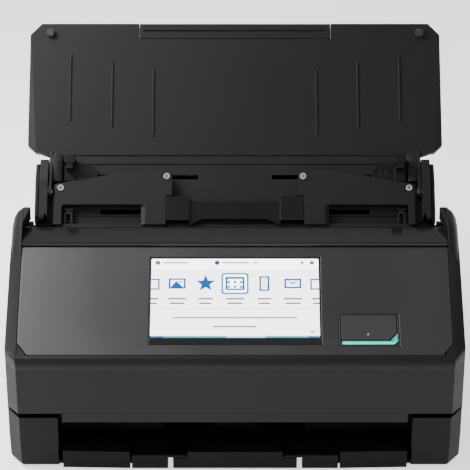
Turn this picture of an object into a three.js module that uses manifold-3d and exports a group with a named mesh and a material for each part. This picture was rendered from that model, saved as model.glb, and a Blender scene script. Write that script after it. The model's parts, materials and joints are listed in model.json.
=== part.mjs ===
// Desktop sheet-fed document scanner, standing open: the paper cover is swung up and back as a chute,
// a receipt guide is clipped in the feeder, and the front section with its touch screen hinges forward.
// Millimetres. X is to the right, Y to the rear, Z up. Pieces are drawn with y = 0 at the front face.
import * as THREE from 'three';
import { mergeVertices } from 'three/addons/utils/BufferGeometryUtils.js';
import Module from 'manifold-3d';

const wasm = await Module();
wasm.setup();

// Overall sizes
const halfWidth = 146;
const depth = 161;
const footHeight = 1.2;
const seamHeight = 38.5;
const seamGap = 2.2;
const cornerWidth = 8;
const cornerDepth = 11.5;

// Fits
const fitGap = 0.3;
const runGap = 0.5;
const overrun = 4;
const wall = 2.4;
const plate = 3;

// Corner radii
const smallCorner = 1;
const mediumCorner = 2;
const largeCorner = 3;

// The two sloping planes: the straight paper path and the control panel
const pathAngle = 44;
const panelAngle = 28.6;
const mouthY = 101.5;
const mouthZ = 127;
const panelFootY = 3.1;
const panelFootZ = 84.3;
const panelLength = 79.5;

// Fineness of curves
const roundSides = 16;
const cornerSteps = 3;

const degree = Math.PI / 180;
const pathCos = Math.cos(pathAngle * degree);
const pathSin = Math.sin(pathAngle * degree);
const panelCos = Math.cos(panelAngle * degree);
const panelSin = Math.sin(panelAngle * degree);

// A place on the paper path: along it upwards from the mouth, and above its surface
function onPath(along, above) {
  return [mouthY + along * pathCos - above * pathSin, mouthZ + along * pathSin + above * pathCos];
}

// Where a line that runs above the path at one distance crosses a height
function pathCrossing(above, height) {
  return [mouthY + ((height - mouthZ - above * pathCos) / pathSin) * pathCos - above * pathSin, height];
}

// A place on the control panel: up its slope from the foot, and above its face
function onPanel(up, above) {
  return [panelFootY + up * panelCos - above * panelSin, panelFootZ + up * panelSin + above * panelCos];
}

// A solid drawn flat, carried to the slope of the control panel
function onPanelPlane(body) {
  return solid(surface(body).rotateX(panelAngle * degree).translate(0, panelFootY, panelFootZ));
}

// Finishes
function finish(color, roughness, metalness = 0) {
  return new THREE.MeshStandardMaterial({ color, roughness, metalness });
}
const charcoal = () => finish(0x3c3c3e, 0.62);
const black = () => finish(0x242425, 0.6);
const glossBlack = () => finish(0x2c2c2e, 0.25);
const steel = () => finish(0xb9bcc0, 0.3, 1);
const rubber = () => finish(0x1a1a1a, 0.85);
const glass = () => finish(0x9fb4b8, 0.08);
const screenGlass = () => finish(0xdfe6ee, 0.15);
const aqua = () => finish(0x7ee0d0, 0.35);
const copperBoard = () => finish(0x1f5b3a, 0.5);

// Shapes and solids

// An outline whose points may carry a corner radius as a third number
function softened(points) {
  const out = [];
  points.forEach(([a, b, radius = 0], index) => {
    const corner = new THREE.Vector2(a, b);
    if (radius === 0) {
      out.push(corner);
      return;
    }
    const [before, after] = [points.at(index - 1), points[(index + 1) % points.length]];
    const toBefore = new THREE.Vector2(before[0], before[1]).sub(corner).setLength(radius);
    const toAfter = new THREE.Vector2(after[0], after[1]).sub(corner).setLength(radius);
    const [start, end] = [corner.clone().add(toBefore), corner.clone().add(toAfter)];
    out.push(...new THREE.QuadraticBezierCurve(start, corner, end).getPoints(cornerSteps));
  });
  return out;
}

function extruded(points, length, placing) {
  const geometry = new THREE.ExtrudeGeometry(new THREE.Shape(softened(points)), {
    depth: length,
    bevelEnabled: false,
  });
  return solid(geometry.applyMatrix4(placing));
}

// An outline in Y and Z carried along X
function across(points, left, right) {
  const placing = new THREE.Matrix4().set(0, 0, 1, left, 1, 0, 0, 0, 0, 1, 0, 0, 0, 0, 0, 1);
  return extruded(points, right - left, placing);
}

// An outline in X and Y carried upwards
function upward(points, low, high) {
  return extruded(points, high - low, new THREE.Matrix4().makeTranslation(0, 0, low));
}

// An outline in X and Z carried along Y
function rearward(points, front, back) {
  const placing = new THREE.Matrix4().set(1, 0, 0, 0, 0, 0, -1, back, 0, 1, 0, 0, 0, 0, 0, 1);
  return extruded(points, back - front, placing);
}

function block(left, right, front, back, low, high) {
  const geometry = new THREE.BoxGeometry(right - left, back - front, high - low);
  geometry.translate((left + right) / 2, (front + back) / 2, (low + high) / 2);
  return solid(geometry);
}

// A round bar along X
function rod(radius, left, right, y, z, sides = roundSides) {
  const geometry = new THREE.CylinderGeometry(radius, radius, right - left, sides);
  geometry.rotateZ(Math.PI / 2).translate((left + right) / 2, y, z);
  return solid(geometry);
}

// A round bar along Z
function peg(radius, x, y, low, high, sides = roundSides) {
  const geometry = new THREE.CylinderGeometry(radius, radius, high - low, sides);
  geometry.rotateX(Math.PI / 2).translate(x, y, (low + high) / 2);
  return solid(geometry);
}

// A piece turned about X, from places along X and the radius at each
function turned(profile, y, z, sides = roundSides) {
  const points = profile.map(([x, radius]) => new THREE.Vector2(radius, x));
  const geometry = new THREE.LatheGeometry(points, sides);
  geometry.rotateZ(-Math.PI / 2).translate(0, y, z);
  return solid(geometry);
}

// A skin through rings of points with like counts, closed at both ends by flat faces
function lofted(rings, flat) {
  const count = rings[0].length;
  const positions = rings.flat(2);
  const indices = [];
  for (let level = 0; level + 1 < rings.length; level += 1) {
    for (let side = 0; side < count; side += 1) {
      const [a, b] = [level * count + side, level * count + ((side + 1) % count)];
      indices.push(a, b, b + count, a, b + count, a + count);
    }
  }
  [0, rings.length - 1].forEach((level) => {
    const outline = rings[level].map((point) => new THREE.Vector2(...flat(point)));
    const keeps = THREE.ShapeUtils.isClockWise(outline) === (level === 0);
    THREE.ShapeUtils.triangulateShape(outline, []).forEach(([a, b, c]) => {
      const face = keeps ? [a, b, c] : [c, b, a];
      indices.push(...face.map((index) => index + level * count));
    });
  });
  const geometry = new THREE.BufferGeometry();
  geometry.setAttribute('position', new THREE.Float32BufferAttribute(positions, 3));
  geometry.setIndex(indices);
  return solid(geometry);
}

// The closed body of a geometry, with its faces turned to point out
function solid(geometry) {
  const bare = geometry.clone();
  bare.deleteAttribute('normal');
  bare.deleteAttribute('uv');
  const merged = mergeVertices(bare);
  const points = merged.getAttribute('position').array;
  const triangles = [];
  let volume = 0;
  const [a, b, c] = [new THREE.Vector3(), new THREE.Vector3(), new THREE.Vector3()];
  for (let at = 0; at < merged.index.count; at += 3) {
    const face = [0, 1, 2].map((corner) => merged.index.getX(at + corner));
    if (new Set(face).size < 3) {
      continue;
    }
    triangles.push(...face);
    [a, b, c].forEach((point, corner) => point.fromArray(points, face[corner] * 3));
    volume += a.dot(b.cross(c));
  }
  const triVerts = new Uint32Array(volume > 0 ? triangles : triangles.reverse());
  return new wasm.Manifold(new wasm.Mesh({ numProp: 3, vertProperties: points, triVerts }));
}

function joined(...pieces) {
  return pieces.reduce((whole, piece) => whole.add(piece));
}

function without(whole, ...cuts) {
  return cuts.reduce((rest, piece) => rest.subtract(piece), whole);
}

// A solid's surface, mirrored to the other side of the object if side is negative
function surface(body, side = 1) {
  const { vertProperties, triVerts, numProp } = body.getMesh();
  const positions = [];
  for (let at = 0; at < vertProperties.length; at += numProp) {
    positions.push(side * vertProperties[at], vertProperties[at + 1], vertProperties[at + 2]);
  }
  const geometry = new THREE.BufferGeometry();
  geometry.setAttribute('position', new THREE.Float32BufferAttribute(positions, 3));
  geometry.setIndex([...(side > 0 ? triVerts : triVerts.slice().reverse())]);
  return geometry;
}

function add(group, name, body, material, side = 1) {
  const mesh = new THREE.Mesh(surface(body, side), material);
  mesh.name = name;
  group.add(mesh);
}

// A piece drawn on the right-hand side, and its mirror image on the left
function addPair(group, name, body, material) {
  add(group, `left_${name}`, body, material(), -1);
  add(group, `right_${name}`, body, material(), 1);
}

// Both mirror images of a solid drawn on the right-hand side
function bothSides(body) {
  return joined(solid(surface(body, 1)), solid(surface(body, -1)));
}

const scanner = new THREE.Group();
const path = new THREE.Group();
const panel = new THREE.Group();
path.position.set(0, mouthY, mouthZ);
path.rotation.x = pathAngle * degree;
panel.position.set(0, panelFootY, panelFootZ);
panel.rotation.x = panelAngle * degree;
scanner.add(path, panel);

// Base tray: the lower housing, with the output bay at the front and the stacker's slot under a deck
const floor = 2.5;
const floorTop = footHeight + floor;
const bayHalf = 113.5;
const bayDepth = 22;
const bayTopDepth = 12;
const deckLow = 13.9;
const deckThick = 2;
const deckTop = deckLow + deckThick;
const slotDepth = 126;
const pocketHalf = 117;
const pocketFront = 14;
const rearCorner = 6;
const bottomBevel = 1.2;
const rimDepth = 0.8;
const rebateDrop = 2.8;
const rebateDepth = 13;
const recessInner = 14.4;
const recessOuter = 45.9;
const frontPivotY = 5.5;
const frontPivotZ = 43.5;
const frontPinRadius = 1.6;
const earInner = 128;
const earOuter = 134;
const earRadius = 3.1;
const footRadius = 8;
const footInsetX = 22;
const footInsetY = 20;
const footSeat = 1;

function baseOutline(inset) {
  const [side, back] = [halfWidth - inset, depth - inset];
  const front = [
    [side - cornerWidth, inset],
    [side, cornerDepth],
    [side, back - rearCorner],
    [side - rearCorner, back],
  ];
  return [...front, ...front.toReversed().map(([x, y]) => [-x, y])];
}

function makeBaseTray() {
  const heights = [
    [footHeight, bottomBevel],
    [footHeight + bottomBevel, bottomBevel / 3],
    [seamHeight / 2, 0],
    [seamHeight, 0],
  ];
  const rings = heights.map(([height, inset]) => baseOutline(inset).map(([x, y]) => [x, y, height]));
  const outer = lofted(rings, ([x, y]) => [x, y]);
  const over = seamHeight + overrun;
  const bay = across([
    [-overrun, floorTop], [bayDepth, floorTop], [bayDepth, deckLow], [bayTopDepth, over],
    [-overrun, over],
  ], -bayHalf, bayHalf);
  const front = block(-bayHalf, bayHalf, -overrun, floor, 0, over);
  const slot = block(-bayHalf - fitGap, bayHalf + fitGap, -overrun, slotDepth, floorTop, deckLow);
  const inner = halfWidth - wall;
  const hollow = across([
    [bayDepth + wall, deckTop], [depth - wall, deckTop], [depth - wall, over],
    [bayTopDepth + wall, over],
  ], -inner, inner);
  const pocket = block(pocketHalf, inner - wall, pocketFront, depth - wall, floorTop, over);
  const rebate = upward(baseOutline(rimDepth), seamHeight - rebateDrop, over)
    .intersect(block(-halfWidth, halfWidth, 0, rebateDepth, 0, over));
  const recess = block(recessInner, recessOuter, 0, bayDepth + wall + overrun, deckTop, over);
  const feet = footPlaces().map(([x, y]) => peg(footRadius + fitGap, x, y, 0, footHeight + footSeat));
  const tray = without(outer, bay, front, slot, hollow, bothSides(pocket), rebate, bothSides(recess),
    fingerNotch(), ...feet);
  return joined(tray, bothSides(makeHingeEar()));
}

// An ear of the base that holds one hinge pin of the front section, clear of its swinging edge
function makeHingeEar() {
  const root = seamHeight - rebateDrop - fitGap;
  const leg = across([
    [frontPivotY + earRadius, root],
    [frontPivotY + 2 * earRadius, root],
    [frontPivotY + earRadius, frontPivotZ + frontPinRadius],
    [frontPivotY - frontPinRadius, frontPivotZ - frontPinRadius],
  ], earInner, earOuter);
  const boss = rod(earRadius, earInner, earOuter, frontPivotY, frontPivotZ);
  const bore = rod(frontPinRadius + fitGap, 0, halfWidth, frontPivotY, frontPivotZ);
  return without(joined(leg, boss), bore);
}

function footPlaces() {
  const [x, front, back] = [halfWidth - footInsetX, footInsetY, depth - footInsetY];
  return [[-x, front], [x, front], [-x, back], [x, back]];
}

// Guide plates of the paper path and the rollers that reach through them
const guideHalf = 137.9;
const guideFoot = -123.8;
const guideHead = 1.7;
const frontGap = 2.2;
const guideNotch = 126;
const guideNotchTop = -108;
const glassLow = -78;
const glassHigh = -66;
const glassHalf = 114;
const shaftRadius = 2;
const rollerEnd = 125.5;
const pulleyLeft = 128;
const pulleyRight = 133.5;
const tyreReach = 0.5;
const brakeReach = 1.3;
const rollers = {
  pick: { along: -36, radius: 11, inner: 6, outer: 26, pulley: 5 },
  feed: { along: -55, radius: 8, inner: 30, outer: 52, pulley: 2.6 },
  exit: { along: -115, radius: 8, inner: 16, outer: 44, pulley: 2.6 },
};
const idlers = {
  brake: { along: -36, radius: 6.5, inner: 6, outer: 26 },
  feed: { along: -55, radius: 6, inner: 30, outer: 52 },
  exit: { along: -115, radius: 6, inner: 16, outer: 44 },
};

function rollerHeight(roller) {
  return tyreReach - roller.radius;
}

function idlerHeight(idler) {
  return frontGap - brakeReach + idler.radius;
}

// The window that a tyre reaches through, as wide as its chord at the far side of the plate
function tyreWindow(roller, centre, low, high) {
  const far = Math.min(Math.abs(centre - low), Math.abs(centre - high));
  const reach = Math.sqrt(Math.max(roller.radius ** 2 - far ** 2, 0)) + 2 * runGap;
  const [left, right] = [roller.inner - 2 * runGap, roller.outer + 2 * runGap];
  const [front, back] = [roller.along - reach, roller.along + reach];
  return bothSides(block(left, right, front, back, low - overrun, high + overrun));
}

// The two lower corners that both guide plates leave free for the hinge ears of the base
function hingeCorners() {
  return bothSides(block(guideNotch, halfWidth, guideFoot - overrun, guideNotchTop, -halfWidth,
    halfWidth));
}

const guideRibFirst = 63;
const guideRibEvery = 18;
const guideRibWidth = 1.2;
const guideRibHeight = 0.4;

function makeLowerGuide() {
  const deck = block(-guideHalf, guideHalf, guideFoot, guideHead, -plate, 0);
  const windows = Object.values(rollers).map((roller) => tyreWindow(roller, rollerHeight(roller),
    -plate, 0));
  const glassWindow = block(-glassHalf, glassHalf, glassLow, glassHigh, -plate - overrun, overrun);
  const ribs = [];
  for (let x = guideRibFirst; x < guideNotch; x += guideRibEvery) {
    const [left, right] = [x - guideRibWidth / 2, x + guideRibWidth / 2];
    const [low, high] = [-guideRibHeight, guideRibHeight];
    ribs.push(bothSides(block(left, right, guideFoot + plate, glassLow - plate, low, high)));
    ribs.push(bothSides(block(left, right, glassHigh + plate, guideHead - plate, low, high)));
  }
  const besideSlab = bothSides(block(slabInner - fitGap, halfWidth, shoulderAlong - shoulderClear,
    guideHead + overrun, -halfWidth, halfWidth));
  return without(joined(deck, ...ribs), ...windows, glassWindow, hingeCorners(), besideSlab);
}

const guideLip = -12.6;
const guideFlare = -22;
const flareRise = 3.1;
const idlerLug = 54;
const lugWidth = 2;
const lugRadius = 3.8;

function makeFrontGuide() {
  const high = frontGap + wall;
  const skin = across([
    [guideFoot, frontGap], [guideFlare, frontGap], [guideLip, frontGap + flareRise],
    [guideLip, high + flareRise], [guideFlare, high], [guideFoot, high],
  ], -guideHalf, guideHalf);
  const windows = Object.values(idlers).map((idler) => tyreWindow(idler, idlerHeight(idler), frontGap,
    high));
  const glassWindow = block(-glassHalf, glassHalf, glassLow, glassHigh, 0, high + overrun);
  const cut = without(skin, ...windows, glassWindow, hingeCorners());
  const lugs = Object.values(idlers).map((idler) => {
    const centre = idlerHeight(idler);
    const cheek = block(idlerLug, idlerLug + lugWidth, idler.along - lugRadius, idler.along + lugRadius,
      high - fitGap, centre);
    const eye = rod(lugRadius, idlerLug, idlerLug + lugWidth, idler.along, centre);
    const bore = rod(shaftRadius + fitGap, 0, halfWidth, idler.along, centre);
    return bothSides(without(joined(cheek, eye), bore));
  });
  return joined(cut, ...lugs);
}

// A roller on its shaft, with two rubber tyres, and a pulley on the left end where it is driven
function makeRoller(roller, end) {
  const { inner, outer, radius, pulley } = roller;
  const crown = runGap;
  const tyre = (side) => {
    const edges = [[inner, shaftRadius], [inner, radius - crown], [inner + crown, radius],
      [outer - crown, radius], [outer, radius - crown], [outer, shaftRadius]];
    return side > 0 ? edges : edges.map(([x, r]) => [-x, r]).reverse();
  };
  const drive = pulley
    ? [[-pulleyRight, 0], [-pulleyRight, pulley], [-pulleyLeft, pulley], [-pulleyLeft, shaftRadius]]
    : [[-end, 0], [-end, shaftRadius]];
  const profile = [...drive, ...tyre(-1), ...tyre(1), [end, shaftRadius], [end, 0]];
  const height = pulley ? rollerHeight(roller) : idlerHeight(roller);
  return turned(profile, roller.along, height);
}

// Side frames that carry the shafts and the motor
const frameInner = 121.5;
const frameOuter = 123.9;
const frameTop = -plate - fitGap;
const motorAlong = -78;
const motorHeight = -38;
const motorRadius = 12;
const motorLength = 34;
const motorPulley = 3;
const motorShaft = 1.5;
const motorBossRadius = 5;
const frameEdge = 14;

function makeSideFrame() {
  const { pick, exit } = rollers;
  const skin = across([
    [exit.along - frameEdge / 2, frameTop],
    [pick.along + frameEdge, frameTop],
    [pick.along + frameEdge, rollerHeight(pick) - frameEdge / 2, frameEdge / 4],
    [motorAlong + frameEdge, motorHeight - frameEdge, frameEdge / 2],
    [motorAlong - frameEdge, motorHeight - frameEdge, frameEdge / 2],
    [exit.along - frameEdge / 2, rollerHeight(exit) - frameEdge / 2, frameEdge / 4],
  ], frameInner, frameOuter);
  const bores = Object.values(rollers).map((roller) => (
    rod(shaftRadius + fitGap, 0, halfWidth, roller.along, rollerHeight(roller))));
  const eye = rod(motorBossRadius + fitGap, 0, halfWidth, motorAlong, motorHeight);
  return without(skin, ...bores, eye);
}

function makeMotor() {
  const back = -frameInner + fitGap + motorLength;
  return turned([
    [-frameOuter, 0], [-frameOuter, motorBossRadius], [-frameInner + fitGap, motorBossRadius],
    [-frameInner + fitGap, motorRadius], [back - plate, motorRadius], [back, motorRadius - plate],
    [back, 0],
  ], motorAlong, motorHeight);
}

function makeMotorPulley() {
  return turned([
    [-pulleyRight, 0], [-pulleyRight, motorPulley], [-pulleyLeft, motorPulley],
    [-pulleyLeft, motorShaft],
    [-frameOuter - fitGap, motorShaft], [-frameOuter - fitGap, 0],
  ], motorAlong, motorHeight);
}

// The toothed belt round the four pulleys: the tight outline of circles a little larger than each
const beltThickness = 1.2;
const beltInset = 0.6;

function makeBelt() {
  const wheels = [
    ...Object.values(rollers).map((roller) => [roller.along, rollerHeight(roller), roller.pulley]),
    [motorAlong, motorHeight, motorPulley],
  ];
  const loop = (grow) => hull(wheels.flatMap(([along, height, radius]) => (
    new THREE.EllipseCurve(along, height, radius + grow, radius + grow).getPoints(roundSides))));
  const [left, right] = [-pulleyRight + beltInset, -pulleyLeft - beltInset];
  const outer = across(loop(fitGap + beltThickness), left, right);
  return without(outer, across(loop(fitGap), left - overrun, right + overrun));
}

// The convex outline round a set of points
function hull(points) {
  const sorted = points.toSorted((p, q) => p.x - q.x || p.y - q.y);
  const half = (list) => list.reduce((chain, point) => {
    while (chain.length > 1) {
      const [a, b] = chain.slice(-2);
      if ((b.x - a.x) * (point.y - a.y) - (b.y - a.y) * (point.x - a.x) > 0) {
        break;
      }
      chain.pop();
    }
    chain.push(point);
    return chain;
  }, []).slice(0, -1);
  return [...half(sorted), ...half(sorted.toReversed())].map((point) => [point.x, point.y]);
}

// Scan units: a closed optics box behind each glass strip
const unitHalf = 117;
const unitDepth = 10;
const unitMargin = 2;

function makeScanUnit(near, away) {
  const far = near + away * unitDepth;
  const [foot, head] = [glassLow - unitMargin, glassHigh + unitMargin];
  return across([
    [foot, near], [head, near], [head, far - away * plate], [head - plate, far], [foot + plate, far],
    [foot, far - away * plate],
  ], -unitHalf, unitHalf);
}

function makeScanGlass(low, high) {
  const half = glassHalf - fitGap;
  return block(-half, half, glassLow + fitGap, glassHigh - fitGap, low, high);
}

// Chute: the fixed part of the paper surface above the mouth, with the two posts of the cover hinge
const chuteFoot = 2;
const chuteHead = 43.2;
const chuteShoulder = 39.4;
const chuteHalf = 128.6;
const chuteTabHalf = 112.7;
const chuteEdge = 6;
const pivotAlong = 17.4;
const pivotAbove = 4.6;
const pinRadius = 1.9;
const postInner = 123;
const postTop = 40.4;
const postHigh = 9;
const postFootInner = 119.8;
const postFootTop = 12.4;
const postFootHigh = 2.2;
const archPlace = 124.4;
const archHalf = 1.6;
const archTop = 1.8;
const slotAlong = 28.8;
const slotWidth = 3;
const slotEnd = 0.5;
const stepAlong = 37;
const stepDepth = 0.5;
const stepWidth = 0.9;
const gapInner = 61;
const gapOuter = 88.5;
const gapLow = 3.2;
const gapHigh = 6.4;
const forkX = 109.4;
const forkHead = 6.4;
const forkFoot = -4;
const forkHalf = 3.4;
const forkProng = 1.6;
const forkHeight = 3.4;
const recessFloor = 1.4;
const recessFoot = 23;
const recessEdge = 2.4;

function makeChute() {
  const surfaceOutline = [
    [-chuteHalf, chuteFoot], [chuteHalf, chuteFoot], [chuteHalf, chuteShoulder],
    [chuteTabHalf, chuteShoulder], [chuteTabHalf, chuteHead], [-chuteTabHalf, chuteHead],
    [-chuteTabHalf, chuteShoulder], [-chuteHalf, chuteShoulder],
  ];
  const deck = upward(surfaceOutline, -plate, 0);
  const lip = block(-chuteTabHalf, chuteTabHalf, chuteShoulder + fitGap, chuteHead, -chuteEdge, 0);
  const slot = bothSides(block(stemInner - guideTravel - slotEnd, stemOuter + slotEnd,
    slotAlong - slotWidth / 2, slotAlong + slotWidth / 2, -halfWidth, overrun));
  const axleHole = peg(axleRadius + fitGap, 0, pinionPlace, -plate - overrun, fitGap - plate / 2);
  const groove = block(-chuteTabHalf, chuteTabHalf, stepAlong, stepAlong + stepWidth, -stepDepth,
    overrun);
  const recess = bothSides(across([
    [recessFoot, overrun], [recessFoot, -recessFloor], [chuteShoulder - wall, -recessFloor, recessEdge],
    [chuteShoulder, overrun],
  ], chuteTabHalf + fitGap, postInner));
  const gap = bothSides(block(gapInner, gapOuter, gapLow, gapHigh, -plate - overrun, overrun));
  const plain = without(joined(deck, lip), slot, axleHole, groove, recess, gap);
  return joined(plain, bothSides(makePost()), bothSides(makeFork()));
}

// A post that takes one end of the cover's hinge pin, wider at its foot, with a small arch there
function makePost() {
  const stem = across([
    [-plate, -fitGap], [postTop, -fitGap], [postTop, plate - fitGap, smallCorner],
    [pivotAlong + postHigh, postHigh, largeCorner], [-plate, postHigh, largeCorner],
  ], postInner, chuteHalf);
  const foot = across([
    [-plate, -fitGap], [postFootTop, -fitGap], [postFootTop, postFootHigh, smallCorner],
    [-plate, postFootHigh, smallCorner],
  ], postFootInner + fitGap, postInner + fitGap);
  const hole = rod(pinRadius + fitGap, 0, chuteHalf - wall / 2, pivotAlong, pivotAbove);
  const arch = upward([
    [archPlace - archHalf, -plate - fitGap], [archPlace + archHalf, -plate - fitGap],
    [archPlace, archTop],
  ], -overrun, postHigh + overrun);
  return without(joined(stem, foot), hole, arch,
    block(0, halfWidth, -halfWidth, chuteFoot, -halfWidth, 0));
}

// A forked post with a cross head, which locates the receipt guide
function makeFork() {
  const foot = chuteFoot + fitGap;
  const prong = (x) => block(x - forkProng / 2, x + forkProng / 2, forkFoot, foot + forkProng, runGap,
    forkHeight);
  const reach = forkHalf - forkProng / 2 - runGap;
  const stem = block(forkX - forkProng, forkX + forkProng, foot + fitGap, forkHead - fitGap, -fitGap,
    forkHeight);
  const bar = block(forkX - reach, forkX + reach, foot, foot + forkProng, -fitGap, forkHeight);
  const head = block(forkX - forkHalf, forkX + forkHalf, forkHead - forkProng, forkHead, -fitGap,
    forkHeight + fitGap);
  return joined(stem, bar, head, prong(forkX - reach), prong(forkX + reach));
}

// Rear cover: the upper housing behind the path, narrow at the top and with sloping shoulders
const coreHalf = 131.3;
const slabInner = 129.2;
const slabHigh = 7.5;
const slabFoot = -4;
const coreHead = 39;
const coreTopDepth = 12;
const coreRearHeight = 108;
const coreBulge = 4;
const coreBulgeRise = 30;
const shoulderAlong = -4;
const shoulderClear = 4;
const shoulderRearHeight = 88;
const rimAbove = -0.4;
const coverFoot = seamHeight + 2 * fitGap;
const socketHeight = 62;
const inletX = 66;
const inletRadius = 5;
const dataX = 38;
const dataWide = 12;
const dataTall = 11;
const lockX = -112;
const lockWide = 7;
const lockTall = 3;
const ventCount = 9;
const ventEvery = 9;
const ventWidth = 3;
const ventLow = 66;
const ventHigh = 96;
const ventX = -70;

function coreOutline(front, shrink) {
  const [startY, startZ] = onPath(coreHead - shrink, -coreTopDepth);
  const start = new THREE.Vector2(startY, startZ);
  const end = new THREE.Vector2(depth - shrink, coreRearHeight - shrink);
  const middle = new THREE.Vector2(depth - coreBulge - shrink, coreRearHeight + coreBulgeRise - shrink);
  const back = new THREE.QuadraticBezierCurve(start, middle, end).getPoints(2 * cornerSteps);
  const low = coverFoot - (shrink ? overrun : 0);
  return [
    pathCrossing(front, low), onPath(coreHead - shrink, front), ...back.map((point) => [point.x,
      point.y]),
    [depth - shrink, low],
  ];
}

function shoulderOutline(front, shrink) {
  const [peakY, peakZ] = onPath(shoulderAlong, rimAbove);
  const fall = (peakZ - shoulderRearHeight) / (depth - peakY);
  const top = (y) => peakZ - shrink - (y - peakY) * fall;
  const low = coverFoot - (shrink ? overrun : 0);
  const reach = front > 0 ? peakY - 2 * overrun : peakY;
  const bend = front > 0 ? [onPath(2 * shoulderAlong, front)] : [];
  return [pathCrossing(front, low), ...bend, [reach, top(reach)], [depth - shrink, top(depth)],
    [depth - shrink, low]];
}

function makeRearCover() {
  const seat = frameTop;
  const core = across(coreOutline(seat, 0), -coreHalf, coreHalf);
  const shoulders = across(shoulderOutline(rimAbove, 0), -halfWidth, halfWidth);
  const slab = bothSides(across([
    onPath(slabFoot, seat - overrun), onPath(slabFoot, slabHigh - wall), onPath(0, slabHigh),
    onPath(pivotAlong + slabHigh, slabHigh), onPath(coreHead - wall, wall), onPath(coreHead, seat),
  ], slabInner, coreHalf));
  const coreInner = across(coreOutline(overrun, wall), fitGap - slabInner, slabInner - fitGap);
  const shoulderInner = across(shoulderOutline(overrun, wall), -guideHalf - fitGap, guideHalf + fitGap)
    .subtract(bothSides(block(slabInner, coreHalf, mouthY + slabFoot, depth, mouthZ - plate,
      2 * mouthZ)));
  const behindRim = across(shoulderOutline(seat - fitGap, wall), wall - halfWidth, halfWidth - wall);
  const shell = joined(without(core, coreInner), slab);
  const lower = without(shoulders, shoulderInner, behindRim, coreInner);
  const sockets = [
    rearPort(inletX, inletRadius, inletRadius),
    rearPort(dataX, dataWide / 2, dataTall / 2),
    rearPort(lockX, lockWide / 2, lockTall / 2),
  ];
  const vents = [];
  for (let count = 0; count < ventCount; count += 1) {
    const x = ventX + count * ventEvery;
    vents.push(block(x, x + ventWidth, depth - 2 * wall, depth + overrun, ventLow, ventHigh));
  }
  return without(joined(without(shell, shoulderInner.intersect(shoulders)), lower), ...sockets,
    ...vents);
}

function rearPort(x, wide, tall) {
  return block(x - wide - fitGap, x + wide + fitGap, depth - 2 * wall, depth + overrun,
    socketHeight - tall - fitGap, socketHeight + tall + fitGap);
}

// Main board at the rear wall with the two sockets
const boardHalf = 92;
const boardThick = 1.6;
const boardFront = 150.2;
const boardHigh = 92;
const chipWide = 22;
const chipLow = 41;
const shieldLow = 35;
const shieldHigh = 54;
const barrelRadius = 3.2;
const centrePin = 1;
const socketWall = 1;
const socketBack = 2;

function makeBoard() {
  const low = deckTop + fitGap;
  const sheet = block(-boardHalf, boardHalf, boardFront, boardFront + boardThick, low, boardHigh);
  const chip = block(-chipWide, 0, boardFront - boardThick, boardFront + fitGap, chipLow,
    chipLow + chipWide);
  const shield = block(-boardHalf + ventEvery, -boardHalf / 2, boardFront - plate, boardFront + fitGap,
    shieldLow, shieldHigh);
  return joined(sheet, chip, shield);
}

function makeInlet() {
  const back = boardFront + boardThick + fitGap;
  const body = block(inletX - inletRadius, inletX + inletRadius, back, depth, socketHeight - inletRadius,
    socketHeight + inletRadius);
  const barrel = alongY(peg(barrelRadius, 0, 0, 0, depth), inletX, back + socketBack, socketHeight);
  const pin = alongY(peg(centrePin, 0, 0, 0, depth - back - socketBack), inletX, back + socketBack / 2,
    socketHeight);
  return joined(without(body, barrel), pin);
}

// A peg drawn along Z, turned to point to the rear
function alongY(body, x, y, z) {
  const geometry = surface(body).rotateX(-Math.PI / 2).translate(x, y, z);
  return solid(geometry);
}

function makeDataSocket() {
  const back = boardFront + boardThick + fitGap;
  const [wide, tall] = [dataWide / 2, dataTall / 2];
  const body = block(dataX - wide, dataX + wide, back, depth, socketHeight - tall, socketHeight + tall);
  const mouth = block(dataX - wide + socketWall, dataX + wide - socketWall, back + socketBack,
    depth + overrun, socketHeight - tall + socketWall, socketHeight + tall - socketWall);
  const tongue = block(dataX - wide / 2, dataX + wide / 2, back, depth - socketBack,
    socketHeight - socketWall, socketHeight + socketWall);
  return joined(without(body, mouth), tongue);
}

// Side guides of the chute, each on a rack under it, and the pinion between the racks
const guideInner = 105.4;
const guideOuter = 112.4;
const guideLow = 25;
const guideHigh = 41;
const guideBase = 3.8;
const guideClip = 10.5;
const headLow = 32;
const headCorner = 1.2;
const neckLow = 34.2;
const neckHigh = 35.6;
const notchIn = 1;
const tongueHalf = 2.3;
const hookStep = 0.6;
const gripThick = 2.6;
const gripBevel = 5;
const gripRibEvery = 1.6;
const gripRibWidth = 0.6;
const gripInner = 90.5;
const gripHigh = 37;
const guideTravel = 80;
const stemWidth = 2.2;
const stemLength = 5;
const stemInset = 2.5;
const stemOuter = guideOuter - stemInset;
const stemInner = stemOuter - stemLength;
const gearModule = 1;
const pressureAngle = 20;
const pinionTeeth = 18;
const pinionPlace = 22.2;
const toothSlack = 0.35;
const toothReach = 1;
const toothRoot = 1.2;
const rackBack = 1.8;
const rackThick = 2;
const rackDepth = 3.6;
const rackPast = 12;
const axleRadius = 2;

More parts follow.
